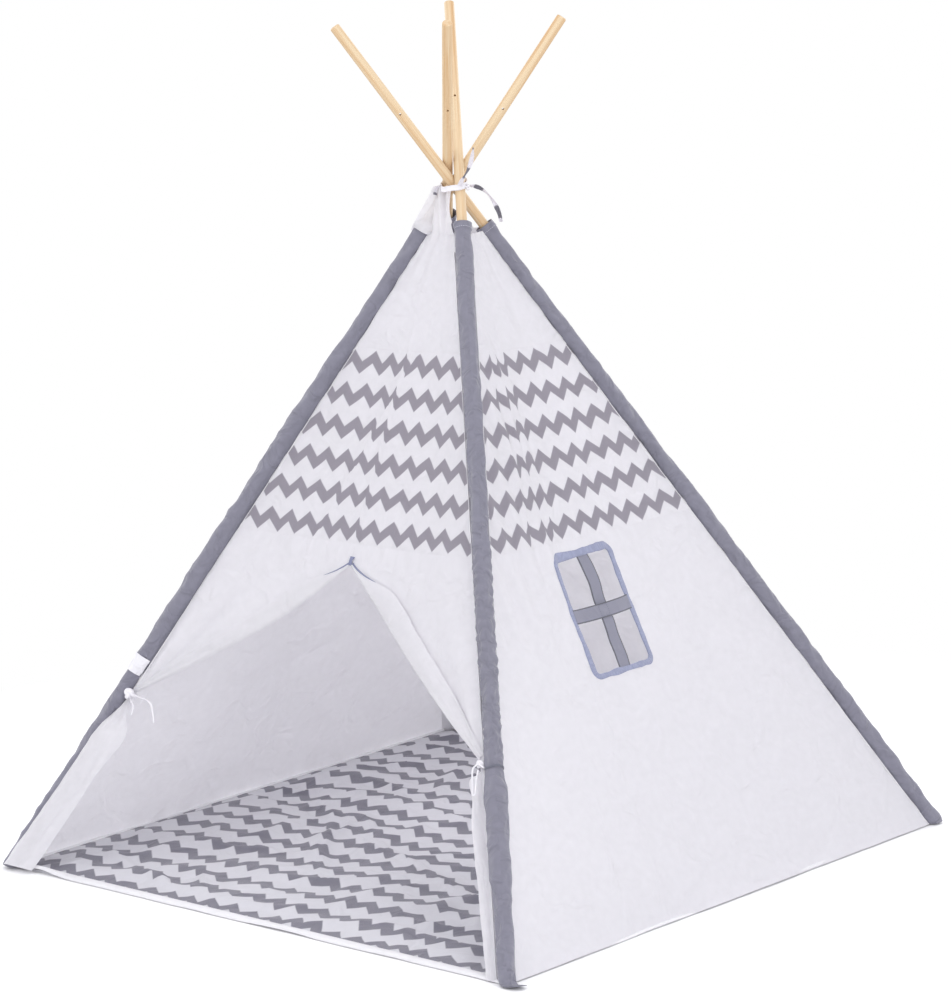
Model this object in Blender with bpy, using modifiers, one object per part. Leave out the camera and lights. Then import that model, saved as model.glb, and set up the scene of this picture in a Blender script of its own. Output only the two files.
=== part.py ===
"""A children's play teepee: four crossed wooden poles under a sewn cloth cover.

The frame is in metres with +Z up and the floor at zero. The door face looks
along -Y and the window face along +X. The four corners are named as seen from
the corner between those two faces: front, right, back and left.

Each face is cut at its middle fold, because the two halves turn away from each
other when the poles are gathered.
"""

import math

import bmesh
import bpy
from mathutils import Matrix, Vector

# Frame of poles
CORNER_REACH = 0.592
CROSSING_HEIGHT = 1.200
POLE_LENGTH = 1.800
POLE_RADIUS = 0.009
POLE_END_ROUND = 0.002
POLE_FOOT_HEIGHT = 0.0092
POLE_SIDE_PASS = 0.00915
POLE_OUTER_PASS = 0.0286
POLE_SEGMENTS = 20
HOLE_RADIUS = 0.0022
HOLE_FROM_TIP = 0.190
HOLE_SEGMENTS = 12
HOLE_CUTTER_SHARE = 4

# Cloth in general
CLOTH_THICKNESS = 0.0012
SEAM_GAP = 0.0004
LAYER_STEP = 0.0016
BINDING_LIFT = 0.0017

# Pole sleeves
SLEEVE_RADIUS = 0.0150
SLEEVE_LUMP = 0.0012
SLEEVE_LUMP_LENGTH = 0.170
SLEEVE_TOP_OUTER = 1.140
SLEEVE_TOP_INNER = 1.128
SLEEVE_FOOT = 0.0036
SLEEVE_RINGS = 16
SLEEVE_SEGMENTS = 16

# Faces of the cover
FACE_EDGE_INSET = 0.0155
COVER_TOP = 1.120
BAND_TOP = 0.915
BAND_BOTTOM = 0.600
COVER_HEM = 0.0068
FACE_SAG = 0.010
FACE_FOLD = 0.005
FOLDS_ACROSS = 2.5
HALF_COLUMNS = 6
UPPER_ROWS = 4
BAND_ROWS = 5
LOWER_ROWS = 8

# Window
WINDOW_HALF_WIDTH = 0.074
WINDOW_SHIFT = -0.035
WINDOW_TOP = 0.588
WINDOW_BOTTOM = 0.394
WINDOW_COLUMNS = 2
WINDOW_ROWS = 3
UNDER_WINDOW_ROWS = 5
BINDING_WIDTH = 0.010
LEVEL_STRAP_COLUMNS = 4
UPRIGHT_STRAP_ROWS = 6
STRAP_WIDTH = 0.026
STRAP_HEIGHT = 0.494

# Doorway
DOOR_PEAK = 0.578
DOOR_TIE_HEIGHT = 0.318
DOOR_EDGE_SHARE = 0.963
DOOR_EDGE_SAG_LEFT = 0.030
DOOR_EDGE_SAG_RIGHT = 0.013
DOOR_NECK = 0.014
DOOR_ROWS = 7
FLAP_WIDTH = 0.042
FLAP_LIFT = 0.0020
FLAP_OPEN_SHARE = 0.30
FLAP_TIE_SHARE = 0.24
FLAP_START_SHARE = 0.03
FLAP_STEPS = 12
FLAP_COLUMNS = 3
TAIL_THICKNESS = 0.0040
TAIL_NECK_WIDTH = 0.012
TAIL_NECK_STEP = 0.0024
TAIL_ROWS = 7
TAIL_COLUMNS = 3
TAIL_WIDE_LEFT = 0.070
TAIL_WIDE_RIGHT = 0.040
TAIL_OPEN_SHARE = 0.25
TAIL_HEM_SHARE = 0.85
PEAK_TAB_WIDTH = 0.009
PEAK_TAB_LENGTH = 0.013

# Tongue of cover cloth under the crossing
TONGUE_FOOT_SHARE = 0.66
TONGUE_TOP_SHARE = 0.56
TONGUE_LEAN_SHARE = 0.60
TONGUE_SHIFT_SHARE = 0.43
TONGUE_FOLDS = 2
TONGUE_COLUMNS = 8
TONGUE_ROWS = 4

# Ties and label
TAPE_WIDTH = 0.008
TAPE_THICKNESS = 0.0009
CROWN_TAPE_WIDTH = 0.009
CROWN_RING_DEPTH = 0.0452
CROWN_RING_WIDTH = 0.0222
CROWN_RING_SQUARENESS = 3.6
CROWN_RING_STEPS = 36
CORD_RADIUS = 0.0015
NECK_RING_REACH = 0.0080
NECK_RING_SHIFT = 0.0032
NECK_RING_FLATNESS = 0.8
TIE_STAND = 0.0150
TIE_STAND_UNDER = 0.0115
BAND_RING_CLEAR = 0.0004
BAND_RING_HEIGHT = 0.005
BAND_RING_ARC = math.radians(236)
LOOP_START_TURN = math.radians(-75)
LABEL_HEIGHT = 0.361
LABEL_LENGTH = 0.034
LABEL_ARC = math.radians(150)
LABEL_TURN = math.radians(42)
LABEL_STEPS = 12

# Floor mat
MAT_HALF = 0.583
MAT_THICKNESS = 0.003
MAT_WAVE = 0.009
MAT_WAVE_LENGTH = 0.34
MAT_WAVE_SKEW_SHARE = 0.8
MAT_EDGE_SHARE = 0.25
MAT_STEPS = 24

CORNERS = ("front", "right", "back", "left")
FACES = ("window", "rear", "side", "door")
QUARTER = math.pi / 2
UP = Vector((0, 0, 1))
CAMERA_SIDE = Vector((1, -1, 0)).normalized()

COLOURS = {
    "pine": (0.83, 0.63, 0.36),
    "sleeve_cotton": (0.26, 0.27, 0.34),
    "white_cotton": (0.80, 0.79, 0.84),
    "chevron_cotton": (0.60, 0.58, 0.63),
    "lavender_binding": (0.35, 0.39, 0.62),
    "grey_webbing": (0.28, 0.29, 0.36),
    "mat_cotton": (0.48, 0.48, 0.53),
    "tie_tape": (0.72, 0.72, 0.76),
    "label_satin": (0.85, 0.85, 0.87),
}


def clear_scene():
    """Remove whatever a new file starts with."""
    for item in list(bpy.data.objects):
        bpy.data.objects.remove(item)


def new_collection(name):
    """Make a collection linked to the scene."""
    group = bpy.data.collections.new(name)
    bpy.context.scene.collection.children.link(group)
    return group


def make_material(kind):
    """Make a plain material in the colour of its kind."""
    material = bpy.data.materials.new(kind)
    material.use_nodes = True
    shader = material.node_tree.nodes["Principled BSDF"]
    shader.inputs["Base Color"].default_value = (*COLOURS[kind], 1)
    shader.inputs["Roughness"].default_value = 0.9
    return material


def add_object(name, mesh, kind, group, matrix=None):
    """Put a mesh in a collection as a named object of one material kind."""
    item = bpy.data.objects.new(name, mesh)
    if matrix is not None:
        item.matrix_world = matrix
    item.data.materials.append(make_material(kind))
    group.objects.link(item)
    return item


def corner_direction(corner):
    """Horizontal direction from the middle to a corner."""
    turn = CORNERS.index(corner) * QUARTER - QUARTER / 2
    return Vector((math.cos(turn), math.sin(turn), 0))


def corner_side(corner):
    """Horizontal direction square to the corner's, turning left."""
    return UP.cross(corner_direction(corner))


def crossing_point(corner):
    """Where a pole's centre line passes the height of the crossing.

    The left and right poles cross one behind the other. The front and back
    poles pass outside them, side by side, and rest in the upper fork.
    """
    if corner in ("front", "back"):
        offset = corner_direction(corner) * POLE_OUTER_PASS + corner_side(corner) * POLE_SIDE_PASS
    else:
        offset = -corner_side(corner) * POLE_SIDE_PASS
    return offset + UP * CROSSING_HEIGHT


def foot_point(corner):
    """Where a pole's centre line meets the floor."""
    return corner_direction(corner) * math.hypot(CORNER_REACH, CORNER_REACH)


def pole_point(corner, height):
    """Point of a pole's centre line at a height."""
    foot = foot_point(corner)
    return foot + (crossing_point(corner) - foot) * (height / CROSSING_HEIGHT)


def pole_axis(corner):
    """Direction of a pole from its foot to its tip."""
    return (crossing_point(corner) - foot_point(corner)).normalized()


def pole_frame(corner):
    """Placement on the crossing point: Z along the pole, X away from the middle."""
    axis = pole_axis(corner)
    side = axis.cross(corner_direction(corner)).normalized()
    out = side.cross(axis)
    frame = Matrix((out, side, axis)).transposed().to_4x4()
    return Matrix.Translation(crossing_point(corner)) @ frame


def drop_along_pole(corner, height):
    """Distance along a pole from the crossing point to a height, negative when lower."""
    return (height - CROSSING_HEIGHT) / pole_axis(corner).z


def make_pole(corner, group, cutters):
    """A round pole with softened ends and a small hole drilled near its tip."""
    foot_drop = drop_along_pole(corner, POLE_FOOT_HEIGHT)
    builder = bmesh.new()
    bmesh.ops.create_cone(
        builder,
        cap_ends=True,
        segments=POLE_SEGMENTS,
        radius1=POLE_RADIUS,
        radius2=POLE_RADIUS,
        depth=POLE_LENGTH,
        matrix=Matrix.Translation((0, 0, foot_drop + POLE_LENGTH / 2)),
    )
    rims = [edge for edge in builder.edges if edge.verts[0].co.z == edge.verts[1].co.z]
    bmesh.ops.bevel(
        builder, geom=rims, offset=POLE_END_ROUND, segments=2, profile=0.5, affect="EDGES", material=-1
    )
    mesh = bpy.data.meshes.new("pole_" + corner)
    builder.to_mesh(mesh)
    builder.free()
    pole = add_object("pole_" + corner, mesh, "pine", group, pole_frame(corner))

    axis = pole_axis(corner)
    hole_way = (CAMERA_SIDE - axis * CAMERA_SIDE.dot(axis)).normalized()
    hole_place = crossing_point(corner) + axis * (foot_drop + POLE_LENGTH - HOLE_FROM_TIP)
    builder = bmesh.new()
    bmesh.ops.create_cone(
        builder,
        cap_ends=True,
        segments=HOLE_SEGMENTS,
        radius1=HOLE_RADIUS,
        radius2=HOLE_RADIUS,
        depth=POLE_RADIUS * HOLE_CUTTER_SHARE,
    )
    mesh = bpy.data.meshes.new("hole_cutter_" + corner)
    builder.to_mesh(mesh)
    builder.free()
    turn = hole_way.to_track_quat("Z", "Y").to_matrix().to_4x4()
    cutter = add_object(
        "hole_cutter_" + corner, mesh, "pine", cutters, Matrix.Translation(hole_place) @ turn
    )
    cutter.hide_render = True
    cutter.display_type = "WIRE"
    cut = pole.modifiers.new("hole", "BOOLEAN")
    cut.operation = "DIFFERENCE"
    cut.solver = "EXACT"
    cut.object = cutter


def lumpy_radius(share_along, turn):
    """Radius of a loose sleeve, a little smaller between its slow swellings."""
    run = share_along * SLEEVE_TOP_OUTER / SLEEVE_LUMP_LENGTH
    swell = math.sin(run * math.tau + math.sin(turn)) * math.cos(turn * 2 + run)
    return SLEEVE_RADIUS - SLEEVE_LUMP * (1 - swell) / 2


def make_sleeve(corner, group):
    """A closed-foot cloth tube round the lower part of a pole, open at its top."""
    axis = pole_axis(corner)
    frame = pole_frame(corner)
    top = SLEEVE_TOP_OUTER if corner in ("front", "back") else SLEEVE_TOP_INNER
    builder = bmesh.new()
    ring = bmesh.ops.create_circle(builder, segments=SLEEVE_SEGMENTS, radius=SLEEVE_RADIUS)["verts"]
    edges = list(builder.edges)
    for step in range(SLEEVE_RINGS + 1):
        if step:
            made = bmesh.ops.extrude_edge_only(builder, edges=edges)["geom"]
            ring = [part for part in made if isinstance(part, bmesh.types.BMVert)]
            edges = [part for part in made if isinstance(part, bmesh.types.BMEdge)]
            edges = [edge for edge in edges if all(vert in ring for vert in edge.verts)]
        share = step / SLEEVE_RINGS
        height = mix(top, SLEEVE_FOOT, share)
        drop = drop_along_pole(corner, height)
        for vert in ring:
            turn = math.atan2(vert.co.y, vert.co.x)
            radius = lumpy_radius(share, turn)
            spot = frame @ Vector((radius * math.cos(turn), radius * math.sin(turn), drop))
            if step == SLEEVE_RINGS:
                spot += axis * ((SLEEVE_FOOT - spot.z) / axis.z)
            vert.co = frame.inverted() @ spot
    bmesh.ops.contextual_create(builder, geom=edges)
    bmesh.ops.triangulate(builder, faces=[face for face in builder.faces if len(face.verts) > 4])
    bmesh.ops.recalc_face_normals(builder, faces=builder.faces)
    mesh = bpy.data.meshes.new("sleeve_" + corner)
    builder.to_mesh(mesh)
    builder.free()
    sleeve = add_object("sleeve_" + corner, mesh, "sleeve_cotton", group, frame)
    wall = sleeve.modifiers.new("wall", "SOLIDIFY")
    wall.thickness = CLOTH_THICKNESS
    wall.offset = -1


def cloth(name, columns, rows, place, kind, group, thickness=CLOTH_THICKNESS, skip=None):
    """A sheet on a grid of columns and rows, put in place share by share and thickened."""
    builder = bmesh.new()
    bmesh.ops.create_grid(builder, x_segments=columns, y_segments=rows, size=0.5)
    cells = {}
    for face in builder.faces:
        middle = face.calc_center_median()
        cells[face] = (int((middle.x + 0.5) * columns), int((middle.y + 0.5) * rows))
    for vert in builder.verts:
        vert.co = place(vert.co.x + 0.5, vert.co.y + 0.5)
    if skip is not None:
        gone = [face for face, cell in cells.items() if skip(*cell)]
        bmesh.ops.delete(builder, geom=gone, context="FACES")
    mesh = bpy.data.meshes.new(name)
    builder.to_mesh(mesh)
    builder.free()
    sheet = add_object(name, mesh, kind, group)
    body = sheet.modifiers.new("body", "SOLIDIFY")
    body.thickness = thickness
    body.offset = 0
    return sheet


def mix(start, end, share):
    """Value part way from start to end."""
    return start + (end - start) * share


def face_sides(face):
    """The corners on the left and right of a face, as seen from outside."""
    index = FACES.index(face)
    return CORNERS[index], CORNERS[(index + 1) % len(CORNERS)]


def face_normal(face):
    """Outward normal of a face."""
    left, right = face_sides(face)
    along = foot_point(right) - foot_point(left)
    upward = UP * CROSSING_HEIGHT - (foot_point(left) + foot_point(right)) / 2
    return along.cross(upward).normalized()


def half_width(face, height):
    """Distance from a face's middle fold to the edge of its cloth at a height."""
    left, right = face_sides(face)
    chord = pole_point(right, height) - pole_point(left, height)
    slope = chord.normalized().cross(pole_axis(left)).length
    return chord.length / 2 - FACE_EDGE_INSET / slope


def face_swell(face, across, height):
    """How far the hanging cloth stands out from the flat face."""
    reach = half_width(face, height)
    share = (across / reach + 1) / 2
    low = 1 - height / CROSSING_HEIGHT
    sag = -FACE_SAG * math.sin(math.pi * share) * math.sin(math.pi * low)
    fold = FACE_FOLD * math.sin(math.tau * FOLDS_ACROSS * share) * math.sin(math.pi * share)
    return sag + fold * low


def face_point(face, across, height, lift=0.0):
    """Point of a face's cloth by its distance from the middle fold and its height."""
    left, right = face_sides(face)
    start = pole_point(left, height)
    end = pole_point(right, height)
    chord = (end - start).normalized()
    stand = face_swell(face, across, height) + lift
    return (start + end) / 2 + chord * across + face_normal(face) * stand


def half_sheet(name, face, sign, low, high, rows, kind, group):
    """A piece of half a face between two heights, from the middle fold to the sleeve."""

    def place(share_across, share_up):
        height = mix(low + SEAM_GAP / 2, high - SEAM_GAP / 2, share_up)
        across = mix(SEAM_GAP, half_width(face, height), share_across)
        return face_point(face, sign * across, height)

    cloth(name, HALF_COLUMNS, rows, place, kind, group)


def window_reach(sign):
    """Distance from the middle fold to the window's edge on one side."""
    return WINDOW_HALF_WIDTH + sign * WINDOW_SHIFT


def window_sheet(name, sign, group):
    """The lower half face beside, above and below half of the window."""
    face = "window"
    heights = [mix(COVER_HEM, WINDOW_BOTTOM, step / UNDER_WINDOW_ROWS) for step in range(UNDER_WINDOW_ROWS)]
    heights += [mix(WINDOW_BOTTOM, WINDOW_TOP, step / WINDOW_ROWS) for step in range(WINDOW_ROWS + 1)]
    heights.append(BAND_BOTTOM - SEAM_GAP / 2)
    rows = len(heights[1:])

    def place(share_across, share_up):
        height = heights[round(share_up * rows)]
        column = round(share_across * HALF_COLUMNS)
        if column <= WINDOW_COLUMNS:
            across = mix(SEAM_GAP, window_reach(sign), column / WINDOW_COLUMNS)
        else:
            outer_share = (column - WINDOW_COLUMNS) / (HALF_COLUMNS - WINDOW_COLUMNS)
            across = mix(window_reach(sign), half_width(face, height), outer_share)
        return face_point(face, sign * across, height)

    def in_window(column, row):
        return column < WINDOW_COLUMNS and WINDOW_BOTTOM <= heights[row] < WINDOW_TOP

    cloth(name, HALF_COLUMNS, rows, place, "white_cotton", group, skip=in_window)


def binding_half(name, sign, group):
    """Half of the tape frame sewn round the window's edge."""
    inner = BINDING_WIDTH / 2
    low = WINDOW_BOTTOM + inner
    high = WINDOW_TOP - inner
    heights = [WINDOW_BOTTOM - inner]
    heights += [mix(low, high, step / WINDOW_ROWS) for step in range(WINDOW_ROWS + 1)]
    heights.append(WINDOW_TOP + inner)
    reach = window_reach(sign)
    acrosses = (SEAM_GAP, reach / 2, reach - inner, reach + inner)
    rows = len(heights[1:])
    columns = len(acrosses[1:])

    def place(share_across, share_up):
        across = acrosses[round(share_across * columns)]
        return face_point("window", sign * across, heights[round(share_up * rows)], BINDING_LIFT)

    def opening(column, row):
        return column < columns - 1 and 0 < row < rows - 1

    cloth(name, columns, rows, place, "lavender_binding", group, skip=opening)


def level_strap(name, sign, group):
    """Half of the webbing strap that crosses the window from side to side."""
    half = STRAP_WIDTH / 2
    reach = window_reach(sign) - BINDING_WIDTH / 2 + SEAM_GAP

    def place(share_across, share_up):
        across = mix(SEAM_GAP, reach, share_across)
        height = mix(STRAP_HEIGHT - half, STRAP_HEIGHT + half, share_up)
        return face_point("window", sign * across, height)

    cloth(name, LEVEL_STRAP_COLUMNS, 1, place, "grey_webbing", group)


def upright_strap(group):
    """The webbing strap down the middle of the window, outside the level one."""
    half = STRAP_WIDTH / 2
    low = WINDOW_BOTTOM - BINDING_WIDTH / 2
    high = WINDOW_TOP + BINDING_WIDTH / 2

    def place(share_across, share_up):
        across = WINDOW_SHIFT + mix(-half, half, share_across)
        return face_point("window", across, mix(low, high, share_up), BINDING_LIFT * 2)

    cloth("window_upright_strap", 2, UPRIGHT_STRAP_ROWS, place, "grey_webbing", group)


def door_edge(sign, height):
    """Distance of the folded door edge from the middle at a height."""
    if height >= DOOR_PEAK:
        return 0.0
    share_down = (DOOR_PEAK - height) / (DOOR_PEAK - DOOR_TIE_HEIGHT)
    slack = DOOR_EDGE_SAG_LEFT if sign < 0 else DOOR_EDGE_SAG_RIGHT
    reach = half_width("door", DOOR_TIE_HEIGHT) * DOOR_EDGE_SHARE
    return reach * share_down - slack * math.sin(math.pi * share_down)


def door_sheet(name, sign, group):
    """The lower half of the door face, down to the folded edge of the doorway."""
    heights = [mix(DOOR_TIE_HEIGHT, DOOR_PEAK, step / DOOR_ROWS) for step in range(DOOR_ROWS + 1)]
    heights.append(BAND_BOTTOM - SEAM_GAP / 2)
    rows = len(heights[1:])

    def place(share_across, share_up):
        height = heights[round(share_up * rows)]
        inner = max(door_edge(sign, height), SEAM_GAP)
        across = mix(inner, half_width("door", height), share_across)
        return face_point("door", sign * across, height)

    cloth(name, HALF_COLUMNS, rows, place, "white_cotton", group)


def fold_line_point(sign, share_down):
    """Point on the door edge, from the peak at zero to the tie at one."""
    height = mix(DOOR_PEAK, DOOR_TIE_HEIGHT, share_down)
    return door_edge(sign, height), height


def flap_sheet(name, sign, group):
    """The door flap's edge, turned outward over the fold and narrowing to its tie."""
    top_across, top_height = fold_line_point(sign, 0)
    low_across, low_height = fold_line_point(sign, 1)
    run = Vector((low_across - top_across, top_height - low_height)).normalized()

    def place(share_along, share_wide):
        across, height = fold_line_point(sign, mix(FLAP_START_SHARE, 1, share_along))
        taper = min(1, share_along / FLAP_OPEN_SHARE) * mix(1, FLAP_TIE_SHARE, share_along ** 3)
        width = mix(TAPE_WIDTH / 2, FLAP_WIDTH, taper) * share_wide
        outward = FLAP_LIFT + TAPE_WIDTH / 2 * math.sin(math.pi * share_wide)
        return face_point("door", sign * (across + run.y * width), height + run.x * width, outward)

    cloth(name, FLAP_STEPS, FLAP_COLUMNS, place, "white_cotton", group)


def tail_sheet(name, sign, wide, group):
    """The gathered cloth of a door flap below its tie, hanging beside the sleeve."""
    top = DOOR_TIE_HEIGHT - SEAM_GAP * 2
    neck = top - DOOR_NECK
    heights = [mix(COVER_HEM, neck, step / TAIL_ROWS) for step in range(TAIL_ROWS + 1)]
    heights.append(top)
    rows = len(heights[1:])

    def place(share_across, share_up):
        height = heights[round(share_up * rows)]
        down = max(0, (neck - height) / (neck - COVER_HEM))
        outer = half_width("door", height) - TAIL_NECK_STEP * (1 - down) ** 6
        spread = math.sin(math.pi / 2 * min(1, down / TAIL_OPEN_SHARE)) ** 2
        width = mix(TAIL_NECK_WIDTH, wide * mix(1, TAIL_HEM_SHARE, down), spread)
        ripple = TAIL_THICKNESS * math.sin(math.tau * share_across) * down
        return face_point("door", sign * (outer - width * (1 - share_across)), height, ripple)

    cloth(name, TAIL_COLUMNS, rows, place, "white_cotton", group, thickness=TAIL_THICKNESS)


def ribbon(name, points, wide_way, width, kind, group, thickness=TAPE_THICKNESS, closed=False):
    """A flat tape along a route; its width lies along one direction."""
    count = len(points)
    across = wide_way.normalized() * (width / 2)
    steps = count if closed else count - 1
    builder = bmesh.new()
    pairs = [(builder.verts.new(spot - across), builder.verts.new(spot + across)) for spot in points]
    for step in range(steps):
        low, high = pairs[step]
        next_low, next_high = pairs[(step + 1) % count]
        builder.faces.new((low, next_low, next_high, high))
    bmesh.ops.recalc_face_normals(builder, faces=builder.faces)
    mesh = bpy.data.meshes.new(name)
    builder.to_mesh(mesh)
    builder.free()
    tape = add_object(name, mesh, kind, group)
    body = tape.modifiers.new("body", "SOLIDIFY")
    body.thickness = thickness
    body.offset = 0
    return tape


def cord(name, points, group):
    """A thin round cord along a hand-laid route, closed at both ends."""
    curve = bpy.data.curves.new(name, "CURVE")
    curve.dimensions = "3D"
    curve.bevel_depth = CORD_RADIUS
    curve.bevel_resolution = 2
    curve.use_fill_caps = True
    spline = curve.splines.new("POLY")
    spline.points.add(len(points) - 1)
    for point, spot in zip(spline.points, points):
        point.co = (*spot, 1)
    return add_object(name, curve, "tie_tape", group)


def crown_route():
    """Route of the tape round the four poles where they cross."""
    side = UP.cross(CAMERA_SIDE)
    route = []
    for step in range(CROWN_RING_STEPS):
        turn = math.tau * step / CROWN_RING_STEPS
        power = 2 / CROWN_RING_SQUARENESS
        depth = math.copysign(abs(math.cos(turn)) ** power, math.cos(turn)) * CROWN_RING_DEPTH
        wide = math.copysign(abs(math.sin(turn)) ** power, math.sin(turn)) * CROWN_RING_WIDTH
        route.append(CAMERA_SIDE * depth + side * wide + UP * CROSSING_HEIGHT)
    return route


def loose_end(start, step_shares, width_way, name, group):
    """A tape end whose steps of side, depth and height are shares of its width."""
    side = UP.cross(CAMERA_SIDE)
    points = [start]
    for wide, deep, rise in step_shares:
        points.append(points[-1] + (side * wide + CAMERA_SIDE * deep + UP * rise) * TAPE_WIDTH)
    ribbon(name, points, width_way, TAPE_WIDTH, "tie_tape", group)


def make_crown(group):
    """The tape round the crossing with its loose ends, and the cloth tongue under it."""
    ribbon("crown_tie_band", crown_route(), UP, CROWN_TAPE_WIDTH, "tie_tape", group, closed=True)
    side = UP.cross(CAMERA_SIDE)
    level = UP * CROSSING_HEIGHT
    outside = CROWN_RING_DEPTH + LAYER_STEP

    right_start = level + side * (CROWN_RING_WIDTH + SEAM_GAP) + CAMERA_SIDE * (outside / 2)
    right_shares = (
        (1.4, 0, -0.1), (1.5, 0, -0.6), (1.5, 0, -1.3), (1.3, 0, -1.9), (1.0, 0, -2.3), (0.4, 0, -2.0),
    )
    loose_end(right_start, right_shares, CAMERA_SIDE + UP, "crown_tie_tail_right", group)

    up_start = level + CAMERA_SIDE * outside + side * TAPE_WIDTH + UP * (CROWN_TAPE_WIDTH / 2 + SEAM_GAP)
    up_shares = ((0.7, 0.3, 1.4), (0.9, 0.2, 1.5), (0.8, 0, 1.7), (0.5, 0, 1.8), (0.3, 0, 1.8))
    loose_end(up_start, up_shares, CAMERA_SIDE * 0.4 + side, "crown_tie_tail_up", group)

    left_start = level - side * (CROWN_RING_WIDTH + TAPE_THICKNESS)
    left_shares = ((-0.8, 0, -0.5), (-0.4, 0, -0.8), (-0.1, 0, -0.8))
    loose_end(left_start, left_shares, CAMERA_SIDE, "crown_tie_end_left", group)


def crown_tongue(group):
    """The top of the cover on the door side, drawn up outside the poles to the tape."""
    low = COVER_TOP + SEAM_GAP
    high = CROSSING_HEIGHT - CROWN_TAPE_WIDTH / 2 - SEAM_GAP * 2
    reach = half_width("door", COVER_TOP)
    base_out = (foot_point("front") + foot_point("left")).normalized()

    def place(share_across, share_up):
        width = mix(reach * TONGUE_FOOT_SHARE, reach * TONGUE_TOP_SHARE, share_up)
        across = mix(-width, width, share_across)
        lower = face_point("door", across, COVER_TOP)
        fold = FACE_FOLD * math.sin(math.tau * share_across * TONGUE_FOLDS) * share_up
        lean = reach * share_up * TONGUE_LEAN_SHARE
        shift = reach * share_up * TONGUE_SHIFT_SHARE
        spot = Vector((lower.x - shift, lower.y, mix(low, high, share_up)))
        return spot + base_out * (fold / 2 - lean)

    cloth("crown_tongue", TONGUE_COLUMNS, TONGUE_ROWS, place, "white_cotton", group)


def ring_route(centre, axis, out, radius, start=0.0, arc=math.tau, steps=20, squash=1.0):
    """Points round an axis, from a start angle over an arc."""
    side = axis.cross(out)
    closed = arc >= math.tau
    count = steps if closed else steps + 1
    points = []
    for step in range(count):
        turn = start + arc * step / steps
        points.append(centre + out * (radius * math.cos(turn) * squash) + side * (radius * math.sin(turn)))
    return points


def make_ties(group):
    """The tapes that hold the door flaps back."""
    frame = pole_frame("front")
    height = DOOR_TIE_HEIGHT - DOOR_NECK / 2
    radius = SLEEVE_RADIUS + BAND_RING_CLEAR + TAPE_THICKNESS / 2
    out = frame.to_3x3() @ Vector((1, 0, 0))
    centre = pole_point("front", height)
    points = ring_route(centre, pole_axis("front"), out, radius, -BAND_RING_ARC / 2, BAND_RING_ARC)
    ribbon("tie_back_right_band", points, pole_axis("front"), BAND_RING_HEIGHT, "tie_tape", group)

    step = CORD_RADIUS * 3
    neck = half_width("door", height) - TAIL_NECK_WIDTH / 2
    loop_shares = (
        (0, 0), (-1.2, -0.8), (-1.9, -1.7), (-1.8, -3.2), (-1.2, -4.8), (-0.5, -6.4),
        (0.2, -8.0), (0.9, -9.6), (1.6, -10.6), (2.3, -9.8), (1.9, -8.2), (1.4, -6.6),
        (1.0, -5.0), (0.8, -3.4), (0.7, -2.0),
    )
    side = pole_axis("front").cross(out)
    start_way = out * math.cos(LOOP_START_TURN) + side * math.sin(LOOP_START_TURN)
    route = [centre + start_way * (radius + TAPE_THICKNESS / 2 + CORD_RADIUS + SEAM_GAP / 2)]
    route += [
        face_point("door", neck + wide * step, height + rise * step, TIE_STAND) for wide, rise in loop_shares
    ]
    cord("tie_back_right_loop", route, group)

    centre = face_point("door", NECK_RING_SHIFT - neck, height)
    along = (pole_axis("left") * -1).normalized()
    points = ring_route(centre, along, face_normal("door"), NECK_RING_REACH, steps=16, squash=NECK_RING_FLATNESS)
    ribbon("tie_back_left_wrap", points, along, TAPE_WIDTH, "tie_tape", group, closed=True)

    size = TAPE_WIDTH
    long_shares = (
        (0, 0), (1.6, -0.1), (3.4, -0.3), (5.2, -0.5), (6.9, -0.7), (8.2, -1.2), (9.2, -2.2), (10.1, -3.4),
        (10.8, -4.7),
    )
    short_shares = ((0.6, -0.5), (1.6, -1.3), (2.5, -2.0), (3.0, -2.9), (3.1, -4.0))
    for name, shares, stand in (
        ("long", long_shares, TIE_STAND),
        ("short", short_shares, TIE_STAND_UNDER),
    ):
        knot = NECK_RING_REACH * NECK_RING_FLATNESS + TAPE_THICKNESS + SEAM_GAP / 2
        route = [
            face_point("door", wide * size - neck, height + rise * size, stand if step else knot)
            for step, (wide, rise) in enumerate(shares)
        ]
        wide_way = Vector((1, 0, 1)) if name == "long" else Vector((1, 0, 0.3))
        ribbon("tie_back_left_tail_" + name, route, wide_way, TAPE_WIDTH, "tie_tape", group)


def peak_tab(group):
    """The small stitched tab over the peak of the doorway."""

    def place(share_across, share_up):
        across = mix(-PEAK_TAB_WIDTH / 2, PEAK_TAB_WIDTH / 2, share_across)
        height = mix(DOOR_PEAK + SEAM_GAP, DOOR_PEAK + PEAK_TAB_LENGTH, share_up)
        return face_point("door", across, height, LAYER_STEP)

    cloth("door_peak_tab", 2, 2, place, "grey_webbing", group)


def make_label(group):
    """A bare cloth tag wrapped round part of the left sleeve."""
    axis = pole_axis("left")
    out = pole_frame("left").to_3x3() @ Vector((1, 0, 0))
    radius = SLEEVE_RADIUS + BAND_RING_CLEAR + TAPE_THICKNESS / 2
    centre = pole_point("left", LABEL_HEIGHT)
    start = LABEL_TURN - LABEL_ARC / 2
    points = ring_route(centre, axis, out, radius, start, LABEL_ARC, LABEL_STEPS)
    ribbon("care_tag", points, axis, LABEL_LENGTH, "label_satin", group)


def mat_wave(across, deep):
    """Height of the mat's wrinkles, none along its edges."""
    edge = 1 - max(abs(across), abs(deep)) / MAT_HALF
    fade = min(1, edge / MAT_EDGE_SHARE)
    run = (across * MAT_WAVE_SKEW_SHARE + deep) * math.tau / MAT_WAVE_LENGTH
    wave = math.sin(run + math.sin(across * math.tau / MAT_WAVE_LENGTH))
    return MAT_WAVE * (1 + wave) / 2 * fade * fade


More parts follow.
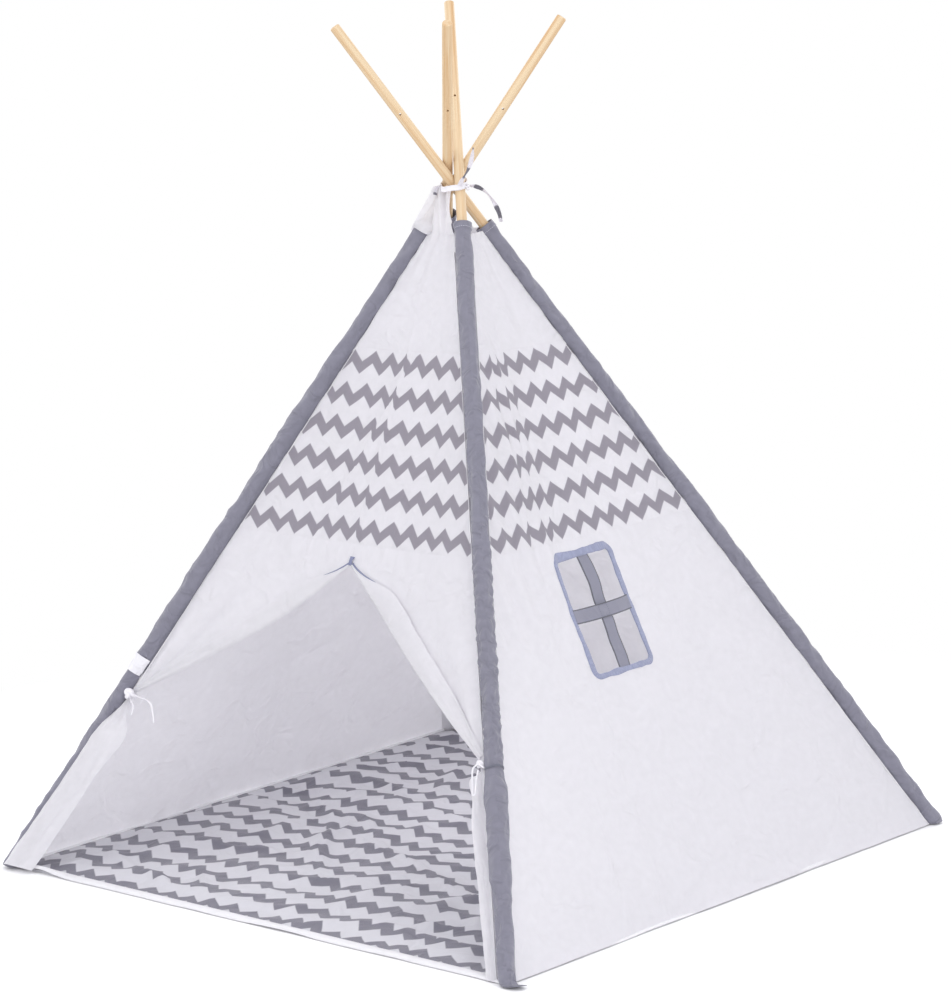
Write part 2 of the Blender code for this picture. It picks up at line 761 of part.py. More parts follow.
def make_mat(group):
    """The floor mat: flat underneath, with low wrinkles on top."""
    builder = bmesh.new()
    bmesh.ops.create_grid(builder, x_segments=MAT_STEPS, y_segments=MAT_STEPS, size=MAT_HALF)
    top = bmesh.ops.extrude_face_region(builder, geom=list(builder.faces))["geom"]
    for part in top:
        if isinstance(part, bmesh.types.BMVert):
            part.co.z = MAT_THICKNESS + mat_wave(part.co.x, part.co.y)
    bmesh.ops.recalc_face_normals(builder, faces=builder.faces)
    mesh = bpy.data.meshes.new("floor_mat")
    builder.to_mesh(mesh)
    builder.free()
    add_object("floor_mat", mesh, "mat_cotton", group)


def make_face(face, group):
    """Both halves of one face: white cloth over and under the sewn band."""
    for half, sign in (("left", -1), ("right", 1)):
        name = face + "_" + half
        half_sheet(name + "_upper", face, sign, BAND_TOP, COVER_TOP, UPPER_ROWS, "white_cotton", group)
        half_sheet(name + "_band", face, sign, BAND_BOTTOM, BAND_TOP, BAND_ROWS, "chevron_cotton", group)
        if face == "window":
            window_sheet(name + "_lower", sign, group)
            binding_half(name + "_binding", sign, group)
            level_strap(name + "_strap", sign, group)
        elif face == "door":
            door_sheet(name + "_lower", sign, group)
            flap_sheet("door_flap_" + half, sign, group)
        else:
            half_sheet(name + "_lower", face, sign, COVER_HEM, BAND_BOTTOM, LOWER_ROWS, "white_cotton", group)


def main():
    """Build the whole teepee."""
    clear_scene()
    group = new_collection("play_teepee")
    cutters = new_collection("cutters")
    for corner in CORNERS:
        make_pole(corner, group, cutters)
        make_sleeve(corner, group)
    for face in FACES:
        make_face(face, group)
    upright_strap(group)
    tail_sheet("door_left_tail", -1, TAIL_WIDE_LEFT, group)
    tail_sheet("door_right_tail", 1, TAIL_WIDE_RIGHT, group)
    peak_tab(group)
    make_crown(group)
    crown_tongue(group)
    make_ties(group)
    make_label(group)
    make_mat(group)


main()
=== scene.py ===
"""The finished look of a children's play teepee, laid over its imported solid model.

Four pine poles cross under a tape tie and stand in loose grey sleeves. A white
cotton cover with sewn chevron bands hangs between them. Its door is folded back
and tied, its window has a cross of webbing, and a printed mat lies inside.
"""

import logging
import math
from dataclasses import dataclass
from enum import Enum
from typing import Callable, Optional, Sequence

import bmesh
import bpy
from mathutils import Matrix, Vector, noise


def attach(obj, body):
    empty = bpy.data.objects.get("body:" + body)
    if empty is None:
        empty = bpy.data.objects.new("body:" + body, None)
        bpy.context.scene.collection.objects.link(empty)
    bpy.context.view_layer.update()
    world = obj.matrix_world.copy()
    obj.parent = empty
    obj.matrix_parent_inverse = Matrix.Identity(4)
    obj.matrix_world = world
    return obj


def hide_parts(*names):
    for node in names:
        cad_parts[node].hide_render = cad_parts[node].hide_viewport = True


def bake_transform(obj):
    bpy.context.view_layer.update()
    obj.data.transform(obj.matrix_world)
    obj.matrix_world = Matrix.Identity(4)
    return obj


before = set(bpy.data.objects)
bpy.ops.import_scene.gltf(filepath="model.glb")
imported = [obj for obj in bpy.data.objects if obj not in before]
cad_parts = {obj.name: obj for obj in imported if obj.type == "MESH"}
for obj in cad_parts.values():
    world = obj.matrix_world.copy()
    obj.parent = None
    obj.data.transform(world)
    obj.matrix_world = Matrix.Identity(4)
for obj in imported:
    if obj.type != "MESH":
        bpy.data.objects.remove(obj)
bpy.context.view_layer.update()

LOG = logging.getLogger("teepee")
UP = Vector((0, 0, 1))
QUARTER = math.pi / 2
MILLIMETRE = 0.001
RIM_ANGLE = math.radians(60)

Place = Callable[[float, float], Vector]
Skip = Callable[[int, int], bool]


class Choice(Enum):
    """Named options, spelled in small letters in the solid model."""

    @property
    def label(self) -> str:
        """The option's name as the solid model spells it."""
        return self.name.lower()


class Corner(Choice):
    """The four corners, turning left from the one nearest the camera."""

    FRONT = 0
    RIGHT = 1
    BACK = 2
    LEFT = 3


class Half(Choice):
    """The two halves of a face on either side of its middle fold."""

    LEFT = -1
    RIGHT = 1


class Face(Choice):
    """The four faces; each one lies between the corner of its number and the next."""

    WINDOW = 0
    REAR = 1
    SIDE = 2
    DOOR = 3

    @property
    def left(self) -> Corner:
        """The corner on the left, as seen from outside."""
        return Corner(self.value)

    @property
    def right(self) -> Corner:
        """The corner on the right, as seen from outside."""
        return Corner((self.value + 1) % len(Corner))

    def corner(self, half: Half) -> Corner:
        """The corner on the side of a half."""
        return self.left if half is Half.LEFT else self.right


def mix(start: float, end: float, share: float) -> float:
    """Value part way from start to end."""
    return start + (end - start) * share


def clamp(value: float, low: float = 0.0, high: float = 1.0) -> float:
    """Value held between two limits."""
    return max(low, min(high, value))


def ease(share: float) -> float:
    """A smooth step from zero to one."""
    share = clamp(share)
    return share * share * (3 - 2 * share)


def swell_between(share: float, start: float, soft_in: float, end: float, soft_out: float) -> float:
    """A smooth rise past start and a smooth fall past end, each over its soft length."""
    return ease((share - start) / soft_in) * (1 - ease((share - end) / soft_out))


def bell(distance: float, width: float) -> float:
    """One at zero, falling off smoothly over a width."""
    return math.exp(-((distance / width) ** 2))


def signed_power(value: float, power: float) -> float:
    """A power of a value's size, with the value's sign."""
    return math.copysign(abs(value) ** power, value)


def wobble(first: float, second: float, third: float) -> float:
    """Smooth noise between minus one and one, the same for the same three numbers."""
    return noise.noise(Vector((first, second, third)))


def linear(code: str) -> tuple[float, float, float, float]:
    """Turn an sRGB hex colour into the linear values that shaders use.

    Args:
        code: The colour as six hex digits.

    Returns:
        Red, green, blue and an alpha of one.
    """
    parts = [int(code[start : start + 2], 16) / 255 for start in (0, 2, 4)]
    red, green, blue = (
        part / 12.92 if part <= 0.04045 else ((part + 0.055) / 1.055) ** 2.4 for part in parts
    )
    return red, green, blue, 1.0


# Finishes


def add_node(tree: bpy.types.NodeTree, kind: str, **inputs) -> bpy.types.Node:
    """Add a shader node and set its named or numbered inputs.

    Args:
        tree: The node tree that gets the node.
        kind: The node's type, without its ShaderNode prefix.
        **inputs: Properties of the node, and sockets as in_NAME or in_NUMBER.

    Returns:
        The new node.
    """
    node = tree.nodes.new("ShaderNode" + kind)
    for name, value in inputs.items():
        if not name.startswith("in_"):
            setattr(node, name, value)
            continue
        key = name[3:].replace("_", " ")
        socket = node.inputs[int(key)] if key.isdigit() else node.inputs[key]
        if isinstance(value, bpy.types.NodeSocket):
            tree.links.new(value, socket)
        else:
            socket.default_value = value
    return node


def maths(tree: bpy.types.NodeTree, operation: str, *values) -> bpy.types.NodeSocket:
    """Add a math node on the given values or sockets and return its result."""
    inputs = {f"in_{index}": value for index, value in enumerate(values)}
    return add_node(tree, "Math", operation=operation, **inputs).outputs[0]


def mix_colours(tree: bpy.types.NodeTree, share, first, second) -> bpy.types.NodeSocket:
    """Mix two colours, each a value or a socket, by the share of the second."""
    inputs = {"in_0": share, "in_6": first, "in_7": second}
    return add_node(tree, "Mix", data_type="RGBA", **inputs).outputs[2]


def fade_out(tree: bpy.types.NodeTree, value, near: float, far: float) -> bpy.types.NodeSocket:
    """One where a value is below near, falling to zero at far."""
    span = {"in_From_Min": near, "in_From_Max": far, "in_To_Min": 1.0, "in_To_Max": 0.0}
    return add_node(tree, "MapRange", in_Value=value, **span).outputs[0]


@dataclass(frozen=True)
class Finish:
    """What every finish has: a name and a way to make its material."""

    name: str

    def material(self) -> bpy.types.Material:
        """Return the finish's material, made the first time it is asked for."""
        known = bpy.data.materials.get(self.name)
        if known is not None:
            return known
        made = bpy.data.materials.new(self.name)
        made.use_nodes = True
        made.node_tree.nodes.clear()
        self.build(made.node_tree)
        return made

    def build(self, tree: bpy.types.NodeTree) -> None:
        """Fill the material's node tree."""
        raise NotImplementedError


@dataclass(frozen=True)
class PineWood(Finish):
    """Sanded, unlacquered pine dowel: pale, with fine lengthwise grain and a dry sheen.

    Its growth rings are drawn at their real width. The dowel attribute holds
    each place on the unturned pole, so the grain follows every pole.
    """

    light: str = "e0caa8"
    dark: str = "cda474"
    knot: str = "9a6a44"
    knot_spread: float = 62 * MILLIMETRE
    grain_width: float = 1.3 * MILLIMETRE
    grain_length: float = 90 * MILLIMETRE
    tone_length: float = 350 * MILLIMETRE

    def build(self, tree: bpy.types.NodeTree) -> None:
        """Stretch noise along the dowel for the grain and its slow changes of tone.

        Args:
            tree: The material's node tree.
        """
        place = add_node(tree, "Attribute", attribute_name="dowel").outputs["Vector"]
        fine_scale = (1 / self.grain_width, 1 / self.grain_width, 1 / self.grain_length)
        fine = add_node(tree, "Mapping", in_Vector=place, in_Scale=fine_scale).outputs[0]
        grain = add_node(tree, "TexNoise", in_Vector=fine, in_Scale=1.0, in_Detail=4.0).outputs[0]
        slow_scale = (1 / (self.grain_width * 6), 1 / (self.grain_width * 6), 1 / self.tone_length)
        slow = add_node(tree, "Mapping", in_Vector=place, in_Scale=slow_scale).outputs[0]
        tone = add_node(tree, "TexNoise", in_Vector=slow, in_Scale=1.0, in_Detail=2.0).outputs[0]
        grain_part = maths(tree, "MULTIPLY", grain, 0.45)
        tone_part = maths(tree, "MULTIPLY", tone, 0.55)
        blend = maths(tree, "ADD", grain_part, tone_part)
        ramp = add_node(tree, "ValToRGB", in_Fac=blend)
        ramp.color_ramp.elements[0].position = 0.34
        ramp.color_ramp.elements[0].color = linear(self.dark)
        ramp.color_ramp.elements[1].position = 0.58
        ramp.color_ramp.elements[1].color = linear(self.light)
        spots = add_node(tree, "TexVoronoi", in_Vector=place, in_Scale=1 / self.knot_spread)
        away = spots.outputs["Distance"]
        near = fade_out(tree, away, 0.035, 0.075)
        wood = mix_colours(tree, near, ramp.outputs[0], linear(self.knot))
        bump = add_node(tree, "Bump", in_Strength=0.25, in_Distance=0.0003, in_Height=grain).outputs[0]
        shader = add_node(tree, "BsdfPrincipled", in_Base_Color=wood, in_Roughness=0.58, in_Normal=bump)
        add_node(tree, "OutputMaterial", in_Surface=shader.outputs[0])


@dataclass(frozen=True)
class Cotton(Finish):
    """Woven cotton: matt, faintly fuzzy at grazing angles and a little see-through.

    Its threads are about 0.3 mm wide in the real cloth, too fine to show, and
    are drawn at twice that.
    """

    colour: str = "f4f3f6"
    thread: float = 0.6 * MILLIMETRE
    slub: float = 14 * MILLIMETRE
    unevenness: float = 0.04
    through: float = 0.45
    wrinkle: float = 70 * MILLIMETRE
    wrinkle_depth: float = 2.2 * MILLIMETRE
    # Strength of the painted shade that darkens the crease valleys in the colour.
    wrinkle_shade: float = 0.01

    def dye(self, tree: bpy.types.NodeTree, place: bpy.types.NodeSocket) -> bpy.types.NodeSocket:
        """Colour of the dyed cloth; printed cloths replace this."""
        tint = add_node(tree, "RGB")
        tint.outputs[0].default_value = linear(self.colour)
        return tint.outputs[0]

    def build(self, tree: bpy.types.NodeTree) -> None:
        """Weave two sets of threads, with slubs, over the dyed colour, and paint shade into its crease
        valleys.

        Args:
            tree: The material's node tree.
        """
        place = add_node(tree, "UVMap", uv_map="cloth").outputs[0]
        parts = add_node(tree, "SeparateXYZ", in_Vector=place).outputs
        beat = math.tau / self.thread
        warp = maths(tree, "SINE", maths(tree, "MULTIPLY", parts[0], beat))
        weft = maths(tree, "SINE", maths(tree, "MULTIPLY", parts[1], beat))
        weave = maths(tree, "MULTIPLY", warp, weft)
        slub_scale = {"in_Scale": 1 / self.slub, "in_Detail": 5.0}
        slubs = add_node(tree, "TexNoise", in_Vector=place, **slub_scale).outputs[0]
        shade = maths(tree, "MULTIPLY_ADD", slubs, 2 * self.unevenness, 1 - self.unevenness)
        # Painted shade: the colour is darkened along the valleys of the crease noise, by wrinkle_shade.
        wrinkle_scale = {"in_Scale": 1 / self.wrinkle, "in_Detail": 2.0, "in_Distortion": 1.4}
        creases = add_node(tree, "TexNoise", in_Vector=place, **wrinkle_scale).outputs[0]
        valley = maths(tree, "ABSOLUTE", maths(tree, "SUBTRACT", creases, 0.5))
        ridge = maths(tree, "MINIMUM", maths(tree, "MULTIPLY", valley, 8.0), 1.0)
        painted_crease_shade = maths(tree, "MULTIPLY_ADD", ridge, self.wrinkle_shade, 1 - self.wrinkle_shade)
        shade = maths(tree, "MULTIPLY", shade, painted_crease_shade)
        dyed = self.dye(tree, place)
        toned = add_node(tree, "VectorMath", operation="SCALE", in_0=dyed, in_Scale=shade)
        height = maths(tree, "ADD", maths(tree, "MULTIPLY", weave, 0.15), slubs)
        ridge_part = maths(tree, "MULTIPLY", ridge, 0.16)
        soft = maths(tree, "ADD", ridge_part, maths(tree, "MULTIPLY", creases, 2.0))
        folds = add_node(tree, "Bump", in_Strength=1.0, in_Distance=self.wrinkle_depth, in_Height=soft)
        rough = {"in_Strength": 0.35, "in_Distance": 0.0006, "in_Height": height}
        bump = add_node(tree, "Bump", in_Normal=folds.outputs[0], **rough).outputs[0]
        shader = add_node(
            tree,
            "BsdfPrincipled",
            in_Base_Color=toned.outputs[0],
            in_Roughness=0.92,
            in_Sheen_Weight=0.25,
            in_Sheen_Roughness=0.6,
            in_Normal=bump,
        )
        glow = add_node(tree, "BsdfTranslucent", in_Color=toned.outputs[0], in_Normal=bump)
        layers = {"in_1": shader.outputs[0], "in_2": glow.outputs[0]}
        both = add_node(tree, "MixShader", in_0=self.through, **layers)
        add_node(tree, "OutputMaterial", in_Surface=both.outputs[0])


@dataclass(frozen=True)
class ChevronCotton(Cotton):
    """Cotton with zigzag rows printed on it, soft at the print's edges."""

    ink: str = "b2adb7"
    tooth: float = 44 * MILLIMETRE
    row: float = 59.8 * MILLIMETRE
    rise: float = 21.5 * MILLIMETRE
    ink_share: float = 0.385
    edge: float = 0.02

    def dye(self, tree: bpy.types.NodeTree, place: bpy.types.NodeSocket) -> bpy.types.NodeSocket:
        """Print zigzag rows: a triangle wave across lifts level stripes.

        Args:
            tree: The material's node tree.
            place: The place on the flat cloth.

        Returns:
            The colour of the cloth.
        """
        parts = add_node(tree, "SeparateXYZ", in_Vector=place).outputs
        wave = maths(tree, "PINGPONG", parts[0], self.tooth / 2)
        lifted = maths(tree, "MULTIPLY_ADD", wave, -2 * self.rise / self.tooth, parts[1])
        row = maths(tree, "FRACT", maths(tree, "DIVIDE", lifted, self.row))
        away = maths(tree, "ABSOLUTE", maths(tree, "SUBTRACT", row, 0.5))
        inked = fade_out(tree, away, self.ink_share / 2 - self.edge, self.ink_share / 2 + self.edge)
        return mix_colours(tree, inked, linear(self.colour), linear(self.ink))


@dataclass(frozen=True)
class Webbing(Cotton):
    """Flat strap of folded cotton with darker overlocked edges."""

    colour: str = "8b8b9a"
    overlock: str = "63646e"
    width: float = 26 * MILLIMETRE
    overlock_width: float = 2.4 * MILLIMETRE
    through: float = 0.05

    def dye(self, tree: bpy.types.NodeTree, place: bpy.types.NodeSocket) -> bpy.types.NodeSocket:
        """Darken both edges of the strap, which lie at the ends of its first axis.

        Args:
            tree: The material's node tree.
            place: The place on the flat cloth.

        Returns:
            The colour of the cloth.
        """
        parts = add_node(tree, "SeparateXYZ", in_Vector=place).outputs
        away = maths(tree, "ABSOLUTE", parts[0])
        inner = self.width / 2 - self.overlock_width
        middle = fade_out(tree, away, inner, inner + MILLIMETRE / 2)
        return mix_colours(tree, middle, linear(self.overlock), linear(self.colour))


@dataclass(frozen=True)
class Thread(Finish):
    """Polyester sewing thread: thin, smooth and slightly shiny, with its twist drawn coarse."""

    colour: str = "c9cad6"

    def build(self, tree: bpy.types.NodeTree) -> None:
        """Give the thread its colour and a twist of fine bumps.

        Args:
            tree: The material's node tree.
        """
        place = add_node(tree, "TexCoord").outputs["Object"]
        twist = add_node(tree, "TexNoise", in_Vector=place, in_Scale=1500.0).outputs[0]
        bump = add_node(tree, "Bump", in_Strength=0.2, in_Distance=0.0001, in_Height=twist).outputs[0]
        surface = {"in_Base_Color": linear(self.colour), "in_Roughness": 0.5, "in_Normal": bump}
        shader = add_node(tree, "BsdfPrincipled", **surface)
        add_node(tree, "OutputMaterial", in_Surface=shader.outputs[0])


PINE = PineWood("sanded_pine")
SLEEVE_COTTON = Cotton(
    "sleeve_cotton_twill",
    colour="82818f",
    through=0.03,
    unevenness=0.10,
    wrinkle=0.040,
    wrinkle_depth=0.0040,
    # painted shade in the sleeve's crease valleys
    wrinkle_shade=0.07,
)
WHITE_COTTON = Cotton("white_cover_cotton")
HEM_COTTON = Cotton("white_hem_cotton", through=0.08)
BAND_COTTON = ChevronCotton("chevron_band_cotton")
MAT_COTTON = ChevronCotton(
    "chevron_mat_cotton",
    colour="cfced4",
    ink="73717d",
    tooth=0.050,
    row=0.067,
    rise=0.0225,
    ink_share=0.40,
    through=0.0,
    wrinkle=0.09,
    wrinkle_depth=0.0030,
)
TAPE_COTTON = ChevronCotton(
    "printed_tie_tape", colour="eceaf0", ink="8f8d98", tooth=0.20, row=0.052, rise=0.02
)
WHITE_TAPE = Cotton("white_tie_tape", colour="f1eff4", through=0.05)
GREY_CORD = Cotton("grey_tie_cord", colour="6f717f", through=0.0)
BINDING_COTTON = Cotton(
    "lavender_bias_binding",
    colour="989db9",
    through=0.03,
    wrinkle=0.012,
    wrinkle_depth=0.0012,
    # painted shade in the binding's crease valleys
    wrinkle_shade=0.12,
)
DOOR_BINDING = Cotton("blue_grey_bias_binding", colour="7f84a2", through=0.03)
STRAP_WEBBING = Webbing("grey_strap_webbing")
CORD_COTTON = Cotton("white_tie_cord", colour="efedf2", thread=1.2 * MILLIMETRE, through=0.0)
TAG_SATIN = Cotton("bare_white_tag", colour="f2f1f6", unevenness=0.02, through=0.08)
PALE_THREAD = Thread("pale_sewing_thread")
GREY_THREAD = Thread("grey_sewing_thread", colour="74768a")


# Frame of poles


@dataclass(frozen=True)
class PoleFrame:
    """Where the four poles stand and cross, in metres.

    The left and right poles cross one behind the other, and the front and back
    poles pass outside them and rest in the upper fork.
    """

    reach: float = 0.592
    height: float = 1.200
    side_pass: float = 0.00915
    outer_pass: float = 0.0286
    edge_inset: float = 0.0155

    def direction(self, corner: Corner) -> Vector:
        """Horizontal direction from the middle to a corner."""
        turn = corner.value * QUARTER - QUARTER / 2
        return Vector((math.cos(turn), math.sin(turn), 0))

    def crossing(self, corner: Corner) -> Vector:
        """Where a pole's centre line passes the height of the crossing.

        Args:
            corner: The pole's corner.

        Returns:
            The place in metres.
        """
        out = self.direction(corner)
        side = UP.cross(out)
        if corner in (Corner.FRONT, Corner.BACK):
            offset = out * self.outer_pass + side * self.side_pass
        else:
            offset = -side * self.side_pass
        return offset + UP * self.height

    def foot(self, corner: Corner) -> Vector:
        """Where a pole's centre line meets the floor."""
        return self.direction(corner) * self.reach * math.sqrt(2)

    def point(self, corner: Corner, height: float) -> Vector:
        """Point of a pole's centre line at a height."""
        foot = self.foot(corner)
        return foot + (self.crossing(corner) - foot) * (height / self.height)

    def axis(self, corner: Corner) -> Vector:
        """Direction of a pole from its foot to its tip."""
        return (self.crossing(corner) - self.foot(corner)).normalized()

    def placement(self, corner: Corner) -> Matrix:
        """Placement on the crossing point: Z along the pole, X away from the middle.

        Args:
            corner: The pole's corner.

        Returns:
            The placement as a matrix.
        """
        axis = self.axis(corner)
        side = axis.cross(self.direction(corner)).normalized()
        turned = Matrix((side.cross(axis), side, axis)).transposed().to_4x4()
        return Matrix.Translation(self.crossing(corner)) @ turned

    def around(self, corner: Corner, radius: float, turn: float, along: float) -> Vector:
        """Place round a pole, at a distance along it from the crossing."""
        spot = Vector((radius * math.cos(turn), radius * math.sin(turn), along))
        return self.placement(corner) @ spot

    def drop(self, corner: Corner, height: float) -> float:
        """Distance along a pole from the crossing to a height, negative when lower."""
        return (height - self.height) / self.axis(corner).z

    def chord(self, face: Face, height: float) -> Vector:
        """From the left pole of a face to its right one at a height."""
        return self.point(face.right, height) - self.point(face.left, height)

    def normal(self, face: Face) -> Vector:
        """Outward normal of a face."""
        left, right = self.foot(face.left), self.foot(face.right)
        return (right - left).cross(UP * self.height - (left + right) / 2).normalized()

    def face_spot(self, face: Face, across: float, height: float, stand: float) -> Vector:
        """Place off a flat face, by its distance from the middle fold, height and stand."""
        start, end = self.point(face.left, height), self.point(face.right, height)
        chord = (end - start).normalized()
        return (start + end) / 2 + chord * across + self.normal(face) * stand

    def half_width(self, face: Face, height: float) -> float:
        """Distance from a face's middle fold to its sleeve at a height."""
        chord = self.chord(face, height)
        slope = chord.normalized().cross(self.axis(face.left)).length
        return chord.length / 2 - self.edge_inset / slope

    def slope_factor(self) -> float:
        """Length along a face's slope for each unit of height."""
        return math.sqrt(1 + (self.reach / self.height) ** 2)


POLES = PoleFrame()


# Cloth building


def shown_object(name: str, data: bpy.types.ID, finish: Finish) -> bpy.types.Object:
    """Put a mesh or curve in the scene as a smooth object with one finish.

    Args:
        name: The piece's name.
        data: Its mesh or curve.
        finish: What it is made of.

    Returns:
        The new object.
    """
    item = bpy.data.objects.new(name, data)
    bpy.context.scene.collection.objects.link(item)
    data.materials.append(finish.material())
    if isinstance(data, bpy.types.Mesh):
        data.shade_smooth()
    return item


def mesh_of(builder: bmesh.types.BMesh, name: str) -> bpy.types.Mesh:
    """Turn a finished builder into a mesh and free it.

    Args:
        builder: Holds the shape.
        name: The mesh's name.

    Returns:
        The mesh.
    """
    mesh = bpy.data.meshes.new(name)
    builder.to_mesh(mesh)
    builder.free()
    return mesh


def finished_mesh(item: bpy.types.Object) -> bpy.types.Mesh:
    """The object's mesh with its modifiers worked in."""
    bpy.context.view_layer.update()
    shown = item.evaluated_get(bpy.context.evaluated_depsgraph_get())
    return bpy.data.meshes.new_from_object(shown)


def dress(item: bpy.types.Object, slot: str, body: str, *nodes: str) -> None:
    """Hide the solids that a rigid piece stands for, and parent the piece to the empty of its body.

    Args:
        item: The piece.
        slot: Not used.
        body: The body that it moves with.
        *nodes: The solids that it replaces, if any.
    """
    if nodes:
        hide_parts(*nodes)
    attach(item, body)


def plain_cut(width: float, length: float, middle: float = 0.0) -> Place:
    """Lay shares out evenly on flat cloth, with zero at one share of its width."""
    return lambda across, along: Vector(((across - middle) * width, along * length))


def cloth_grid(
    name: str,
    columns: int,
    rows: int,
    place: Place,
    finish: Finish,
    flat: Optional[Place] = None,
    outward: Optional[Vector] = None,
    thickness: float = 0.8 * MILLIMETRE,
    skip: Optional[Skip] = None,
    closed: bool = False,
    last_step: Optional[Callable[[bmesh.types.BMesh], None]] = None,
) -> bpy.types.Object:
    """Make a thickened sheet of cloth from a grid.

    Args:
        name: The piece's name.
        columns: Cells across.
        rows: Cells up.
        place: Gives the place of a share across and a share up.
        finish: The cloth's finish.
        flat: Gives the place on the flat cloth in metres, for weave and print.
        outward: A direction that the cloth's outer side faces.
        thickness: The cloth's thickness in metres.
        skip: Says which cells are left open.
        closed: Joins the first and last columns, as in a tube.
        last_step: A last change to the sheet before it gets its thickness.

    Returns:
        The new object.
    """
    builder = bmesh.new()
    bmesh.ops.create_grid(builder, x_segments=columns, y_segments=rows, size=0.5)
    layer = builder.loops.layers.uv.new("cloth")
    gone = []
    for cell in builder.faces:
        middle = cell.calc_center_median()
        if skip is not None and skip(int((middle.x + 0.5) * columns), int((middle.y + 0.5) * rows)):
            gone.append(cell)
        for loop in cell.loops:
            across, upward = loop.vert.co.x + 0.5, loop.vert.co.y + 0.5
            spot = flat(across, upward) if flat else Vector((across, upward))
            loop[layer].uv = (spot[0], spot[1])
    bmesh.ops.delete(builder, geom=gone, context="FACES")
    for vert in builder.verts:
        vert.co = place(vert.co.x + 0.5, vert.co.y + 0.5)
    if closed:
        bmesh.ops.remove_doubles(builder, verts=builder.verts, dist=MILLIMETRE / 50)
    if last_step is not None:
        last_step(builder)
    if closed:
        bmesh.ops.recalc_face_normals(builder, faces=builder.faces)
    if outward is not None:
        facing = sum((cell.normal_update() or cell.normal.copy() for cell in builder.faces), Vector())
        if facing.dot(outward) < 0:
            bmesh.ops.reverse_faces(builder, faces=builder.faces)
    mesh = mesh_of(builder, name)
    item = shown_object(name, mesh, finish)
    wall = item.modifiers.new("wall", "SOLIDIFY")
    wall.thickness = thickness
    wall.offset = 0
    whole = finished_mesh(item)
    item.modifiers.clear()
    item.data = whole
    bpy.data.meshes.remove(mesh)
    whole.name = name
    whole.set_sharp_from_angle(angle=RIM_ANGLE)
    return item


def smooth_route(points: Sequence[Vector], steps: int) -> list[Vector]:
    """Round a few given points into an even flowing line.

    Args:
        points: The points that the line passes.
        steps: Pieces of line between two points.

    Returns:
        The points of the flowing line.
    """
    spots = [points[0] * 2 - points[1], *points, points[-1] * 2 - points[-2]]
    line = []
    for index in range(1, len(spots) - 2):
        before, start, end, after = spots[index - 1 : index + 3]
        for step in range(steps):
            share = step / steps
            spot = start * 2 + (end - before) * share
            spot += (before * 2 - start * 5 + end * 4 - after) * share**2
            spot += (start * 3 - before - end * 3 + after) * share**3
            line.append(spot / 2)
    line.append(points[-1].copy())
    return line


def route_length(points: Sequence[Vector]) -> float:
    """Length of a line through points."""
    return sum((end - start).length for start, end in zip(points, points[1:]))


def ribbon(
    name: str,
    points: Sequence[Vector],
    wide_ways: Sequence[Vector],
    width: float,
    finish: Finish,
    thickness: float = 1.0 * MILLIMETRE,
    cup: float = 0.0,
) -> bpy.types.Object:
    """Lay a flat tape along a route.

    Args:
        name: The piece's name.
        points: Points of the route.
        wide_ways: Directions of the tape's width, spread evenly along the route.
        width: The tape's width in metres.
        finish: The tape's finish.
        thickness: The tape's thickness in metres.
        cup: How far the tape's middle stands off its edges.

    Returns:
        The new object.
    """
    rows = len(points) - 1

    def place(share_across: float, share_up: float) -> Vector:
        """Place on the tape, which turns toward its next wide way."""
        index = round(share_up * rows)
        ahead = points[min(rows, index + 1)] - points[max(0, index - 1)]
        spot = share_up * (len(wide_ways) - 1)
        first = min(int(spot), len(wide_ways) - 1)
        second = min(first + 1, len(wide_ways) - 1)
        way = wide_ways[first].lerp(wide_ways[second], spot - first)
        way = (way - ahead.normalized() * way.dot(ahead.normalized())).normalized()
        face = way.cross(ahead).normalized()
        bow = cup * math.sin(math.pi * share_across)
        return points[index] + way * ((share_across - 0.5) * width) + face * bow

    flat = plain_cut(width, route_length(points), 0.5)
    return cloth_grid(name, 6, rows, place, finish, flat, thickness=thickness)


def stitch_row(
    name: str,
    points: Sequence[Vector],
    finish: Finish,
    length: float,
    gap: float,
    radius: float,
) -> bpy.types.Object:
    """Sew a row of short stitches along a line.

    Args:
        name: The piece's name.
        points: The line, with points close together.
        finish: The thread's finish.
        length: Length of one stitch in metres.
        gap: Gap between stitches in metres.
        radius: Radius of the thread in metres.

    Returns:
        One object that holds all the stitches.
    """
    builder = bmesh.new()
    total = route_length(points)
    count = max(1, int(total / (length + gap)))
    marks = [0.0]
    for start, end in zip(points, points[1:]):
        marks.append(marks[-1] + (end - start).length)

    def along(distance: float) -> Vector:
        """Point of the line at a distance from its start."""
        for index in range(1, len(marks)):
            if distance <= marks[index] or index == len(marks) - 1:
                span = max(marks[index] - marks[index - 1], 1e-9)
                share = clamp((distance - marks[index - 1]) / span)
                return points[index - 1].lerp(points[index], share)
        return points[-1]

    for number in range(count):
        start = along(number * total / count)
        end = along(number * total / count + length)
        way = end - start
        if way.length < length / 4:
            continue
        turn = way.to_track_quat("Z", "Y").to_matrix().to_4x4()
        stretch = Matrix.Diagonal((1, 1, length / (2 * radius), 1))
        spot = Matrix.Translation((start + end) / 2) @ turn @ stretch
        bmesh.ops.create_icosphere(builder, subdivisions=1, radius=radius, matrix=spot)
    return shown_object(name, mesh_of(builder, name), finish)


